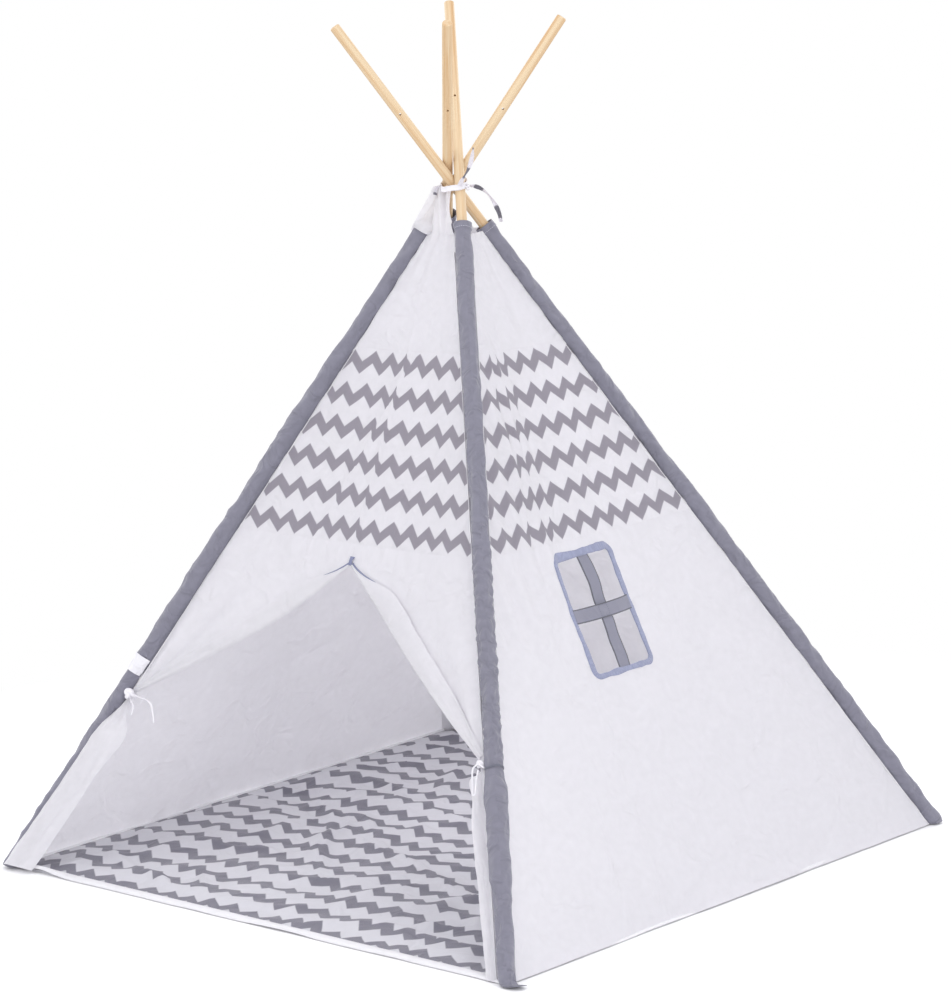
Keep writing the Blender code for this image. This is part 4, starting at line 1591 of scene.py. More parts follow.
@dataclass(frozen=True)
class WindowCut:
    """The window's opening, its binding and the cross of straps in it.

    The window sits a little nearer the front corner than the face's middle fold,
    so its left half is the wider one.
    """

    half_width: float = 0.074
    shift: float = -0.035
    top: float = 0.588
    bottom: float = 0.394
    corner_round: float = 0.013
    corner_steps: int = 8
    rim_steps: int = 16
    binding: float = 0.0105
    binding_depth: float = 1.6 * MILLIMETRE
    binding_wall: float = 0.4 * MILLIMETRE
    strap: float = 0.026
    strap_wall: float = 1.4 * MILLIMETRE
    strap_lift: float = 1.8 * MILLIMETRE
    strap_height: float = 0.494
    strap_slack: float = 0.0025
    cell: float = 0.0062
    side_columns: int = 70

    def reach(self, half: Half) -> float:
        """Distance of the window's side from the middle fold."""
        return self.half_width + half.value * self.shift

    def build(self) -> None:
        """Build the cloth round the window, its binding, straps and stitches."""
        for half in Half:
            self.build_panel(half)
            self.build_binding(half)
            self.build_level_strap(half)
        self.build_upright_strap()
        self.build_strap_stitches()

    def build_panel(self, half: Half) -> None:
        """The lower half face with its part of the window left open.

        Args:
            half: The half of the window face.
        """
        reach = self.reach(half)
        across_marks = self.marks(0.0, reach, round(reach / self.cell)) + [reach]
        heights = self.marks(COVER.hem, self.bottom, 60) + self.marks(self.bottom, self.top, 30)
        heights += self.marks(self.top, COVER.band_bottom, 3) + [COVER.band_bottom]
        inner_columns = len(across_marks) - 1
        columns = inner_columns + self.side_columns
        rows = len(heights) - 1

        def spot(share_across: float, share_up: float) -> tuple[float, float]:
            """Distance from the middle fold, and height."""
            height = heights[round(share_up * rows)]
            column = round(share_across * columns)
            if column <= inner_columns:
                return across_marks[column], height
            share = (column - inner_columns) / self.side_columns
            return mix(reach, COVER.outer(Face.WINDOW, height), share), height

        def opening(column: int, row: int) -> bool:
            """Whether a cell lies in the window."""
            inside = self.bottom - MILLIMETRE < heights[row] < self.top - MILLIMETRE
            return column < inner_columns and inside

        low, high = COVER.hem, COVER.band_bottom
        lower = FacePanel(Face.WINDOW, half, "lower", low, high, WHITE_COTTON, "white_cotton")
        panel = lower.cloth(columns, rows, spot, opening)
        slope = POLES.slope_factor()
        width = COVER.outer(Face.WINDOW, low)
        length = (high - low) * slope
        area = (width + COVER.outer(Face.WINDOW, high)) / 2 * length
        area -= reach * (self.top - self.bottom) * slope
        lower.finish_cloth(panel)

    @staticmethod
    def marks(start: float, end: float, steps: int) -> list[float]:
        """Even steps from start up to, but not at, the end."""
        return [mix(start, end, step / steps) for step in range(steps)]

    def rim(self, reach: float) -> list[tuple[float, float, float, float]]:
        """One half's part of the rounded outline, from the top middle to the bottom middle.

        Args:
            reach: Distance of the window's side from the middle fold.

        Returns:
            Place across and up, and the outward direction across and up, of each point.
        """
        steps, bend, round_by = self.rim_steps, self.corner_steps, self.corner_round
        spots = [(reach * step / steps, self.top, 0.0, 1.0) for step in range(steps)]
        spots = [spot for spot in spots if spot[0] < reach - round_by]
        for step in range(bend + 1):
            turn = QUARTER * (1 - step / bend)
            spots.append(self.rim_corner(reach, turn, self.top - round_by))
        drop = self.top - self.bottom - 2 * round_by
        for step in range(1, 2 * steps):
            spots.append((reach, self.top - round_by - drop * step / (2 * steps), 1.0, 0.0))
        for step in range(bend + 1):
            spots.append(self.rim_corner(reach, -QUARTER * step / bend, self.bottom + round_by))
        tail = [(reach * (1 - step / steps), self.bottom, 0.0, -1.0) for step in range(steps + 1)]
        return spots + [spot for spot in tail if spot[0] < reach - round_by]

    def rim_corner(
        self, reach: float, turn: float, height: float
    ) -> tuple[float, float, float, float]:
        """A point of the outline's rounded corner."""
        across = reach - self.corner_round + self.corner_round * math.cos(turn)
        return across, height + self.corner_round * math.sin(turn), math.cos(turn), math.sin(turn)

    def build_binding(self, half: Half) -> None:
        """Half of the folded tape that wraps the window's raw edge.

        Args:
            half: The half of the window.
        """
        rim = self.rim(self.reach(half))

        def place(share_round: float, share_along: float) -> Vector:
            """Place on the flattened tube of tape, which runs a little uneven."""
            across, height, way_across, way_up = rim[round(share_along * (len(rim) - 1))]
            turn = math.tau * share_round
            pull = 1 + 0.4 * wobble(across * 45, height * 45, half.value)
            wide = self.binding / 2 * pull * signed_power(math.cos(turn), 0.6)
            lift = self.binding_depth * signed_power(math.sin(turn), 0.7)
            across += way_across * wide
            height += way_up * wide / POLES.slope_factor()
            return COVER.point(Face.WINDOW, max(0.0, across) * half.value, height, lift)

        ways = {
            "flat": plain_cut(self.binding * 2, len(rim) * 0.005),
            "closed": True,
            "thickness": self.binding_wall,
        }
        name = f"window_{half.label}_binding"
        tape = cloth_grid(name + "_tape", 12, len(rim) - 1, place, BINDING_COTTON, **ways)
        dress(tape, "lavender_binding", f"window_{half.label}", name)

    def build_level_strap(self, half: Half) -> None:
        """Half of the strap that crosses the window from side to side.

        Args:
            half: The half of the window.
        """
        reach = self.reach(half) - self.binding / 4

        def place(share_across: float, share_up: float) -> Vector:
            """Place on the strap, which sags toward the window's middle."""
            across = mix(0.0, reach, share_across)
            away = (across * half.value - self.shift) / self.half_width
            slack = self.strap_slack * (1 - away * away) * (1 + 0.3 * away)
            rise = (share_up - 0.5) * self.strap / POLES.slope_factor()
            height = self.strap_height + rise - slack
            return COVER.point(Face.WINDOW, across * half.value, height, self.strap_lift)

        def flat(share_across: float, share_up: float) -> Vector:
            """Place on the flat strap, whose width comes first."""
            return Vector(((share_up - 0.5) * self.strap, share_across * reach))

        name = f"window_{half.label}_strap"
        self.sew_strap(name + "_webbing", (16, 8), place, flat, f"window_{half.label}", name)

    def upright_point(self, aside: float, height: float) -> Vector:
        """Place on the upright strap, which hangs a little slack behind the level one.

        Args:
            aside: Distance from the strap's own middle.
            height: Height above the floor.

        Returns:
            The place in metres.
        """
        share = clamp((height - self.bottom) / (self.top - self.bottom))
        slack = 0.0045 * math.sin(math.pi * share)
        slack += 0.0040 * math.sin(math.tau * 1.4 * share + 0.6) * share
        wavy = 0.0010 * wobble(aside * 90, height * 45, 7.7)
        buckle = 0.0016 * math.sin(math.tau * 3 * share) * math.sin(math.pi * share)
        across = self.shift + aside + slack + wavy
        return COVER.point(Face.WINDOW, across, height, buckle - 0.0012)

    def build_upright_strap(self) -> None:
        """The strap down the window's middle."""
        low = self.bottom - self.binding * 0.25
        high = self.top + self.binding * 0.25

        def place(share_across: float, share_up: float) -> Vector:
            """Place on the strap."""
            aside = (share_across - 0.5) * self.strap
            return self.upright_point(aside, mix(low, high, share_up))

        flat = plain_cut(self.strap, high - low, 0.5)
        node = "window_upright_strap"
        self.sew_strap("window_upright_webbing", (8, 40), place, flat, "window_left", node)

    def sew_strap(
        self, name: str, cells: tuple[int, int], place: Place, flat: Place, body: str, node: str
    ) -> None:
        """Make a strap of webbing and dress it.

        Args:
            name: The piece's name.
            cells: Cells across and up.
            place: Gives places on the strap.
            flat: Gives places on the flat strap.
            body: The body that it rides on.
            node: The solid that it stands for.
        """
        ways = {"outward": POLES.normal(Face.WINDOW), "thickness": self.strap_wall}
        strap = cloth_grid(name, *cells, place, STRAP_WEBBING, flat, **ways)
        dress(strap, "grey_webbing", body, node)

    def build_strap_stitches(self) -> None:
        """The stitched box where the two straps cross."""
        half = self.strap / 2 - 3 * MILLIMETRE
        corners = [(-half, -half), (half, -half), (half, half), (-half, half), (-half, -half)]
        line = []
        for (start_x, start_y), (end_x, end_y) in zip(corners, corners[1:]):
            for step in range(8):
                across = self.shift + mix(start_x, end_x, step / 8)
                rise = mix(start_y, end_y, step / 8) / POLES.slope_factor()
                height = self.strap_height + rise - self.strap_slack
                line.append(COVER.point(Face.WINDOW, across, height, 0.0028))
        line.append(line[0])
        box = stitch_row("window_strap_stitches", line, GREY_THREAD, 0.0026, 0.0010, 0.0004)
        dress(box, "grey_webbing", "window_left")


@dataclass(frozen=True)
class Doorway:
    """The door's two flaps, folded back and gathered into their ties."""

    flap_left: float = 0.036
    flap_right: float = 0.042
    flap_start: float = 0.004
    flap_steps: int = 130
    open_share: float = 0.30
    tie_share: float = 0.24
    rim_left: float = 0.0015
    rim_right: float = 0.0045
    puff: float = 0.0050
    ripple: float = 0.0022
    crease: float = 0.0014
    tail_left: float = 0.070
    tail_right: float = 0.040
    tail_open_share: float = 0.25
    tail_hem_share: float = 0.70
    neck_width: float = 0.012
    neck_step: float = 0.0024
    pleat: float = 0.0065
    tail_over: float = 0.015
    tail_puff: float = 0.0235
    binding: float = 0.0021
    binding_share: float = 0.15
    tab_width: float = 0.009
    tab_length: float = 0.013

    def build(self) -> None:
        """Build the flaps, their bound edges, the hanging tails and the peak tab."""
        for half in Half:
            self.build_flap(half)
            self.build_tail(half)
        self.build_peak_tab()

    def flap_point(self, half: Half, share_along: float, share_wide: float) -> Vector:
        """Place on the turned-back edge of a flap.

        Args:
            half: The side of the doorway.
            share_along: Share of the way from the peak to the tie.
            share_wide: Share of the way from the fold out to the flap's rim.

        Returns:
            The place in metres.
        """
        height = mix(DOOR.peak, DOOR.tie_height, mix(0.004, 1, share_along))
        across = DOOR.across(half, height)
        run = Vector((DOOR.tie_across(half), DOOR.peak - DOOR.tie_height)).normalized()
        taper = ease(share_along / self.open_share) * mix(1, self.tie_share, share_along**3)
        width = mix(self.flap_start, self.flap_width(half), taper)
        seed = Vector((share_along * 5, share_wide * 1.5, half.value * 3))
        curl = math.sin(math.pi * clamp(share_wide) ** 0.55)
        rim = self.rim_right if half is Half.RIGHT else self.rim_left
        lift = mix(0.0002, 0.0011 + rim * taper, share_wide)
        lift += self.puff * curl * mix(0.35, 1, taper)
        lift += self.ripple * max(0.0, noise.noise(seed)) * share_wide * (1 - share_wide) * 4
        fan = math.sin(share_wide * 11 + half.value * 0.7 + share_along * 2)
        drawn = ease((share_along - 0.25) / 0.6)
        lift += self.crease * fan * drawn * math.sin(math.pi * share_wide)
        reach = (share_wide + 0.05 * noise.noise(seed * 2) * share_wide) * width
        across = (across + run.y * reach) * half.value
        return COVER.point(Face.DOOR, across, height + run.x * reach, lift)

    def flap_width(self, half: Half) -> float:
        """Widest part of a flap."""
        return self.flap_left if half is Half.LEFT else self.flap_right

    def build_flap(self, half: Half) -> None:
        """Turn the flap's edge outward over the fold line and bind the top of its rim.

        Args:
            half: The side of the doorway.
        """

        def place(share_wide: float, share_along: float) -> Vector:
            """Place on the flap."""
            return self.flap_point(half, share_along, share_wide)

        wide, steps = self.flap_width(half), self.flap_steps
        name = f"door_flap_{half.label}"
        ways = {"outward": POLES.normal(Face.DOOR), "thickness": 0.0009}
        flat = plain_cut(wide, 0.5)
        flap = cloth_grid(name + "_cloth", 20, steps, place, WHITE_COTTON, flat, **ways)
        length = route_length([place(0.5, step / steps) for step in range(steps + 1)])
        dress(flap, "white_cotton", f"flap_{half.label}", name)
        rim = [place(1.0, self.binding_share * step / 40) for step in range(41)]
        binding = self.bound_edge(name + "_binding", rim)
        dress(binding, "lavender_binding", f"flap_{half.label}")

    def bound_edge(self, name: str, points: Sequence[Vector]) -> bpy.types.Object:
        """The strip of binding that shows near the peak and runs out under the cloth.

        Args:
            name: The piece's name.
            points: Points along the flap's rim.

        Returns:
            The new object.
        """
        rows = len(points) - 1

        def place(share_round: float, share_along: float) -> Vector:
            """Place on the strip, which thins out along the rim."""
            index = round(share_along * rows)
            ahead = (points[min(rows, index + 1)] - points[max(0, index - 1)]).normalized()
            side = ahead.cross(UP).normalized()
            thick = self.binding * (1 - share_along**2 * 0.85)
            turn = math.tau * share_round
            upward = side.cross(ahead) * (thick * math.sin(turn))
            return points[index] + side * (thick * 0.6 * math.cos(turn)) + upward

        flat = plain_cut(self.binding * 6, rows * 0.002)
        return cloth_grid(name, 8, rows, place, DOOR_BINDING, flat, closed=True, thickness=0.0004)

    def tail_width(self, half: Half) -> float:
        """Widest part of the cloth that hangs below a tie."""
        return self.tail_left if half is Half.LEFT else self.tail_right

    def tail_point(self, half: Half, share_across: float, share_up: float) -> Vector:
        """Place on the cloth that hangs below a tie.

        Args:
            half: The side of the doorway.
            share_across: Share of the way from its free edge to the sleeve.
            share_up: Share of the way from the hem to the tie.

        Returns:
            The place in metres.
        """
        left = half is Half.LEFT
        neck = DOOR.tie_height - DOOR.neck
        height = mix(COVER.hem, DOOR.tie_height - 0.0008, share_up)
        down = clamp((neck - height) / (neck - COVER.hem))
        open_share = self.tail_open_share if left else 0.07
        spread = math.sin(QUARTER * min(1, down / open_share)) ** 2
        over = self.tail_over * spread * down if left else 0.0
        outer = COVER.edge(Face.DOOR, height) - self.neck_step * (1 - down) ** 6
        outer += over - MILLIMETRE
        wide = self.tail_width(half) * mix(1, self.tail_hem_share, down)
        width = mix(self.neck_width, wide, spread) + over
        pleats = 1.5 if left else 1.0
        fold = math.sin(math.tau * pleats * (share_across + 0.06 * math.sin(down * 5)) + 0.9)
        lift = self.pleat * mix(0.4, 1, ease(down / 0.3)) * fold * mix(0.6, 0.45, down)
        lift += 0.0030 * wobble(share_across * 3, down * 6, half.value * 3)
        lift += 0.0012 * wobble(share_across * 9, down * 22, half.value)
        lift *= mix(0.35, 1, ease((1 - share_across) / 0.2))
        if left:
            lift += self.tail_puff * math.sin(math.pi * mix(0.10, 0.72, share_across)) * spread
        reach = outer - width * (1 - share_across)
        sewn = min(reach, POLES.half_width(Face.DOOR, height)) * half.value
        stand = COVER.stand(Face.DOOR, sewn, height) + lift
        return POLES.face_spot(Face.DOOR, reach * half.value, height, stand)

    def build_tail(self, half: Half) -> None:
        """Hang the rest of the flap below its tie, beside the sleeve.

        Args:
            half: The side of the doorway.
        """

        def place(share_across: float, share_up: float) -> Vector:
            """Place on the tail."""
            return self.tail_point(half, share_across, share_up)

        wide = self.tail_width(half)
        length = (DOOR.tie_height - COVER.hem) * POLES.slope_factor()
        name = f"door_{half.label}_tail"
        ways = {"outward": POLES.normal(Face.DOOR), "thickness": 0.0012}
        flat = plain_cut(wide, length)
        tail = cloth_grid(name + "_cloth", 36, 110, place, WHITE_COTTON, flat, **ways)
        hang(tail, Face.DOOR, half, name, "white_cotton")

    def build_peak_tab(self) -> None:
        """The small folded loop sewn over the doorway's peak."""

        def place(share_across: float, share_up: float) -> Vector:
            """Place on the tab, which bulges and narrows at its middle."""
            bulge = 0.002 + 0.0024 * math.sin(math.pi * share_up)
            narrow = mix(1.0, 0.62, math.sin(math.pi * share_up))
            height = DOOR.peak + share_up * self.tab_length - MILLIMETRE
            across = (share_across - 0.5) * self.tab_width * narrow
            return COVER.point(Face.DOOR, across, height, bulge)

        flat = plain_cut(self.tab_width, self.tab_length, 0.5)
        ways = {"outward": POLES.normal(Face.DOOR), "thickness": 0.0016}
        tab = cloth_grid("door_peak_loop", 6, 12, place, DOOR_BINDING, flat, **ways)
        dress(tab, "grey_webbing", "door_right", "door_peak_tab")


@dataclass(frozen=True)
class Cover:
    """All four faces of the sewn cover."""

    def build(self) -> None:
        """Build every panel, then the window and the doorway."""
        for face in Face:
            for half in Half:
                self.build_half(face, half)
        WindowCut().build()
        Doorway().build()
        LOG.info("cover")

    def build_half(self, face: Face, half: Half) -> None:
        """The white top, the chevron band and the lower panel of half a face.

        Args:
            face: The face.
            half: The half of the face.
        """
        white = (WHITE_COTTON, "white_cotton")
        bottom, top = COVER.band_bottom, COVER.band_top
        FacePanel(face, half, "upper", top, COVER.top, *white).build()
        FacePanel(face, half, "band", bottom, top, BAND_COTTON, "chevron_cotton").build()
        if face is not Face.WINDOW:
            low = DOOR.tie_height if face is Face.DOOR else COVER.hem
            FacePanel(face, half, "lower", low, bottom, *white).build()


# Ties, tag and mat


@dataclass(frozen=True)
class CrownTie:
    """The tape wound round the crossing, its loose ends and the cloth tongue under it."""

    ring_depth: float = 0.0452
    ring_width: float = 0.0222
    squareness: float = 3.6
    turn_steps: int = 160
    tape: float = 0.0090
    end_tape: float = 0.008
    layer: float = 0.0016
    tongue_foot_share: float = 0.94
    tongue_over: float = 0.046
    tongue_top_share: float = 0.52
    tongue_lean_share: float = 0.60
    tongue_shift_share: float = 0.43
    tongue_fold: float = 0.0048
    sleeve_clearance: float = 0.0208
    pole_clearance: float = 0.0115

    @property
    def ways(self) -> tuple[Vector, Vector]:
        """Directions outward through the front corner, and level across it."""
        depth_way = POLES.direction(Corner.FRONT)
        return depth_way, UP.cross(depth_way)

    def ring_point(self, turn: float, rise: float = 0.0, grow: float = 0.0) -> Vector:
        """Place on the tape round the poles.

        Args:
            turn: Angle round the crossing.
            rise: Height above the crossing.
            grow: Distance outside the first layer of tape.

        Returns:
            The place in metres.
        """
        depth_way, side_way = self.ways
        power = 2 / self.squareness
        depth = signed_power(math.cos(turn), power) * (self.ring_depth + grow)
        wide = signed_power(math.sin(turn), power) * (self.ring_width + grow)
        return depth_way * depth + side_way * wide + UP * (POLES.height + rise)

    def build(self) -> None:
        """Build the wrap, its three ends and the tongue."""
        turns = [math.tau * step / self.turn_steps for step in range(self.turn_steps + 1)]
        for number, (grow, tilt, phase) in enumerate(((0, 0.0040, 0), (0.0011, 0.0052, 0.25))):
            points = []
            for turn in turns:
                wander = 0.0009 * wobble(math.cos(turn) * 3, math.sin(turn) * 3, number)
                points.append(self.ring_point(turn, tilt * math.sin(turn + phase) + wander, grow))
            wrap = ribbon(f"crown_wrap_{number}", points, [UP], self.tape, WHITE_TAPE, cup=0.0011)
            dress(wrap, "tie_tape", "crown", *(["crown_tie_band"] if number == 0 else []))
        self.build_knot()
        self.build_ends()
        self.build_tongue()
        LOG.info("crown")

    def build_knot(self) -> None:
        """The flat half knot where both loose ends leave the wrap."""
        centre = self.ring_point(QUARTER * 0.62, 0.0, 0.0026)
        knot = tape_knot("crown_knot", centre, self.ways[1], 0.0050, 0.0021)
        dress(knot, "tie_tape", "crown")

    def route(self, start: Vector, steps: Sequence[tuple[float, float, float]]) -> list[Vector]:
        """Points of a loose end.

        Args:
            start: Where the end leaves the wrap.
            steps: Each step to the side, outward and up, in tape widths.

        Returns:
            The points, from the start on.
        """
        depth_way, side_way = self.ways
        points = [start]
        for wide, deep, rise in steps:
            move = side_way * wide + depth_way * deep + UP * rise
            points.append(points[-1] + move * self.end_tape)
        return points

    def build_ends(self) -> None:
        """The loose ends of the tape: one arching right, one up and one short."""
        depth_way, side_way = self.ways
        level = UP * POLES.height
        outside = self.ring_depth + self.layer
        right_start = level + side_way * (self.ring_width + 0.0004) + depth_way * (outside / 2)
        right_steps = ((1.4, 0, -0.1), (1.5, 0, -0.6), (1.5, 0, -1.3), (1.3, 0, -1.9))
        right_steps += ((1.0, 0, -2.3), (0.4, 0, -2.0))
        right_ways = [UP * 0.2 + depth_way, UP + depth_way * 0.3, depth_way + UP * 0.4, UP]
        right_ways.append(depth_way + side_way)
        up_start = level + depth_way * outside + side_way * self.end_tape
        up_start += UP * (self.tape / 2 + 0.0004)
        up_steps = ((0.7, 0.3, 1.4), (0.9, 0.2, 1.5), (0.8, 0, 1.7), (0.5, 0, 1.8), (0.3, 0, 1.8))
        up_ways = [side_way, depth_way, side_way + depth_way * 0.3, depth_way]
        short_start = level - side_way * (self.ring_width + 0.0009)
        short_steps = ((-0.8, 0, -0.5), (-0.4, 0, -0.8), (-0.1, 0, -0.8))
        ends = (
            ("crown_tie_tail_right", right_start, right_steps, right_ways),
            ("crown_tie_tail_up", up_start, up_steps, up_ways),
            ("crown_tie_end_left", short_start, short_steps, [depth_way, depth_way + side_way]),
        )
        for name, start, steps, ways in ends:
            line = smooth_route(self.route(start, steps), 10)
            tape = ribbon(name + "_tape", line, ways, self.end_tape, TAPE_COTTON, cup=0.0012)
            dress(tape, "tie_tape", "crown", name)

    def clear_of_poles(self, spot: Vector) -> Vector:
        """Push cloth out of the left and front poles and their sleeves.

        Args:
            spot: A place on the cloth.

        Returns:
            The nearest place that is clear.
        """
        height = spot.z
        for corner in (Corner.LEFT, Corner.FRONT):
            axis = POLES.axis(corner)
            away = spot - POLES.crossing(corner)
            away -= axis * away.dot(axis)
            above = ease((height - SLEEVES.top(corner) + 0.002) / 0.012)
            need = mix(self.sleeve_clearance, self.pole_clearance, above)
            if away.length < need:
                spot = spot + away.normalized() * (need - away.length)
        return spot

    def build_tongue(self) -> None:
        """The cover's top on the door side, drawn up in folds to the tape."""
        reach = POLES.half_width(Face.DOOR, COVER.top)
        outward = (POLES.foot(Corner.FRONT) + POLES.foot(Corner.LEFT)).normalized()
        low = COVER.top - 0.0015
        high = POLES.height - self.tape * 0.2

        def place(share_across: float, share_up: float) -> Vector:
            """Place on the folded cloth, which leans in and to the left as it rises."""
            rise = ease(share_up * 0.9 + 0.05)
            width = reach * mix(self.tongue_foot_share, self.tongue_top_share, rise)
            left = width + self.tongue_over * (1 - share_up) ** 0.8
            across = mix(-left, width, share_across)
            base = COVER.point(Face.DOOR, max(across, -reach), low)
            base.x += min(0.0, across + reach)
            phase = math.tau * (2.2 * share_across + 0.18 * share_up) + 0.5
            fold = self.tongue_fold * math.sin(phase) * mix(0.15, 1.0, ease(share_up / 0.6))
            fold += 0.0016 * wobble(share_across * 4, share_up * 3, 1.5)
            fold *= 1 - 0.7 * ease(-across / reach - 0.6)
            hook = 0.006 * ease((share_across - 0.72) / 0.28) * math.sin(math.pi * share_up)
            lean = reach * share_up * self.tongue_lean_share
            shift = reach * share_up * self.tongue_shift_share
            spot = Vector((base.x - shift, base.y, mix(low, high, share_up)))
            return self.clear_of_poles(spot + outward * (fold - lean + hook))

        flat = plain_cut(reach * 2, 0.09)
        out = POLES.normal(Face.DOOR)
        tongue = cloth_grid("crown_tongue_cloth", 60, 36, place, WHITE_COTTON, flat, out)
        dress(tongue, "white_cotton", "crown", "crown_tongue")


@dataclass(frozen=True)
class DoorTies:
    """The tapes and the cord that hold the door flaps back.

    The shares give the route of each hanging end: across to the right and up
    from its tie, in cord or tape sizes.
    """

    tape: float = 0.008
    cord_radius: float = 0.0015
    stand: float = 0.0150
    stand_under: float = 0.0115
    neck_shift: float = 0.0032
    neck_reach: float = 0.0084
    neck_flatness: float = 0.85
    neck_width: float = 0.012
    band_arc: float = math.radians(236)
    band_radius: float = 0.0160
    band_width: float = 0.0026
    band_steps: int = 60
    wrap_steps: int = 48
    loop_turn: float = math.radians(-75)
    loop_shares: tuple = (
        (0, 0), (-1.2, -0.8), (-1.9, -1.7), (-1.8, -3.2), (-1.2, -4.8), (-0.5, -6.4),
        (0.2, -8.0), (0.9, -9.6), (1.6, -10.6), (2.3, -9.8), (1.9, -8.2), (1.4, -6.6),
        (1.0, -5.0), (0.8, -3.4), (0.7, -2.0),
    )
    long_shares: tuple = (
        (0, 0), (1.6, -0.1), (3.4, -0.3), (5.2, -0.5), (6.9, -0.7), (8.2, -1.2), (9.2, -2.2),
        (10.1, -3.4), (10.8, -4.7),
    )
    short_shares: tuple = ((0.6, -0.5), (1.6, -1.3), (2.5, -2.0), (3.0, -2.9), (3.1, -4.0))

    def neck_across(self) -> float:
        """Distance of the gathered cloth's middle from the middle fold."""
        return POLES.half_width(Face.DOOR, DOOR.tie_middle()) - self.neck_width / 2

    def build(self) -> None:
        """Build the right band and loop, then the left wrap and its two ends."""
        self.build_right()
        self.build_left()
        LOG.info("door ties")

    def build_right(self) -> None:
        """A thin grey cord round the front sleeve, a knot, and a loop that hangs from it."""
        level = POLES.drop(Corner.FRONT, DOOR.tie_middle())
        points = []
        for step in range(self.band_steps + 1):
            turn = self.band_arc * (step / self.band_steps - 0.5)
            along = level + 0.0012 * math.sin(turn * 2)
            points.append(POLES.around(Corner.FRONT, self.band_radius, turn, along))
        ways = [POLES.axis(Corner.FRONT)]
        band = ribbon("tie_back_right_tape", points, ways, self.band_width, GREY_CORD, cup=0.0009)
        dress(band, "tie_tape", "leg_front", "tie_back_right_band")
        outside = self.band_radius + self.cord_radius + 0.0006
        self.build_loop(POLES.around(Corner.FRONT, outside, self.loop_turn, level))
        across = self.neck_across() - 0.002
        neck = POLES.face_spot(Face.DOOR, across, DOOR.tie_middle() + MILLIMETRE, 0.0085)
        knot = tape_knot("tie_back_right_knot", neck, POLES.normal(Face.DOOR), 0.0056, 0.0026)
        dress(knot, "tie_tape", "door_right")

    def build_loop(self, start: Vector) -> None:
        """The loop of white cord that hangs beside the front sleeve.

        Args:
            start: Where the cord leaves the band.
        """
        size = self.cord_radius * 3
        spots = [start]
        for wide, rise in self.loop_shares:
            across, height = self.neck_across() + wide * size, DOOR.tie_middle() + rise * size
            spots.append(POLES.face_spot(Face.DOOR, across, height, self.stand))
        line = smooth_route(spots, 4)
        curve = bpy.data.curves.new("tie_back_right_cord", "CURVE")
        curve.dimensions = "3D"
        curve.bevel_depth = self.cord_radius
        curve.bevel_resolution = 4
        curve.use_fill_caps = True
        spline = curve.splines.new("POLY")
        spline.points.add(len(line) - 1)
        for point, spot in zip(spline.points, line):
            point.co = (*spot, 1)
        loop = shown_object("tie_back_right_cord", curve, CORD_COTTON)
        route_length(line)
        dress(loop, "tie_tape", "door_right", "tie_back_right_loop")

    def build_left(self) -> None:
        """A tape knotted round the gathered flap, with two ends."""
        height = DOOR.tie_middle()
        centre = POLES.face_spot(Face.DOOR, self.neck_shift - self.neck_across(), height, 0)
        axis = -POLES.axis(Corner.LEFT)
        out = POLES.normal(Face.DOOR)
        side = axis.cross(out)
        for number, (grow, shift) in enumerate(((0, 0), (0.0009, 0.0016), (0.0016, -0.0010))):
            points = []
            for step in range(self.wrap_steps + 1):
                turn = math.tau * step / self.wrap_steps
                ring = out * (math.cos(turn) * self.neck_flatness) + side * math.sin(turn)
                rise = shift + 0.0016 * math.sin(turn + number * 2.1)
                points.append(centre + ring * (self.neck_reach + grow) + axis * rise)
            name = f"tie_back_left_turn_{number}"
            wide = self.tape * (1 - 0.22 * number)
            wrap = ribbon(name, points, [axis], wide, CORD_COTTON, cup=0.0008)
            dress(wrap, "tie_tape", "door_left", *(["tie_back_left_wrap"] if number == 0 else []))
        front = centre + out * (self.neck_reach * self.neck_flatness + 0.0025) + side * MILLIMETRE
        knot = tape_knot("tie_back_left_knot", front, out, 0.0078, 0.0036)
        dress(knot, "tie_tape", "door_left")
        self.build_left_end("long", self.long_shares, self.stand)
        self.build_left_end("short", self.short_shares, self.stand_under)

    def build_left_end(self, name: str, shares: tuple, stand: float) -> None:
        """One loose end of the left tie, which droops in front of the doorway.

        Args:
            name: Which end it is.
            shares: Its route in tape widths.
            stand: Its distance off the flat door face.
        """
        knot = self.neck_reach * self.neck_flatness + 0.0012
        spots = []
        for number, (wide, rise) in enumerate(shares):
            across = wide * self.tape - self.neck_across()
            height = DOOR.tie_middle() + rise * self.tape
            off = stand if number else knot
            spots.append(POLES.face_spot(Face.DOOR, across, height, off))
        ways = [Vector((0.3, -0.2, 1)), Vector((0.6, -0.9, 0.4))]
        ways += [Vector((1, -0.3, 0.6)), Vector((1, -0.8, 0.3))]
        line = smooth_route(spots, 8)
        end = f"tie_back_left_{name}_end"
        tape = ribbon(end, line, ways, self.tape * 0.8, CORD_COTTON, cup=0.0014)
        dress(tape, "tie_tape", "door_left", "tie_back_left_tail_" + name)


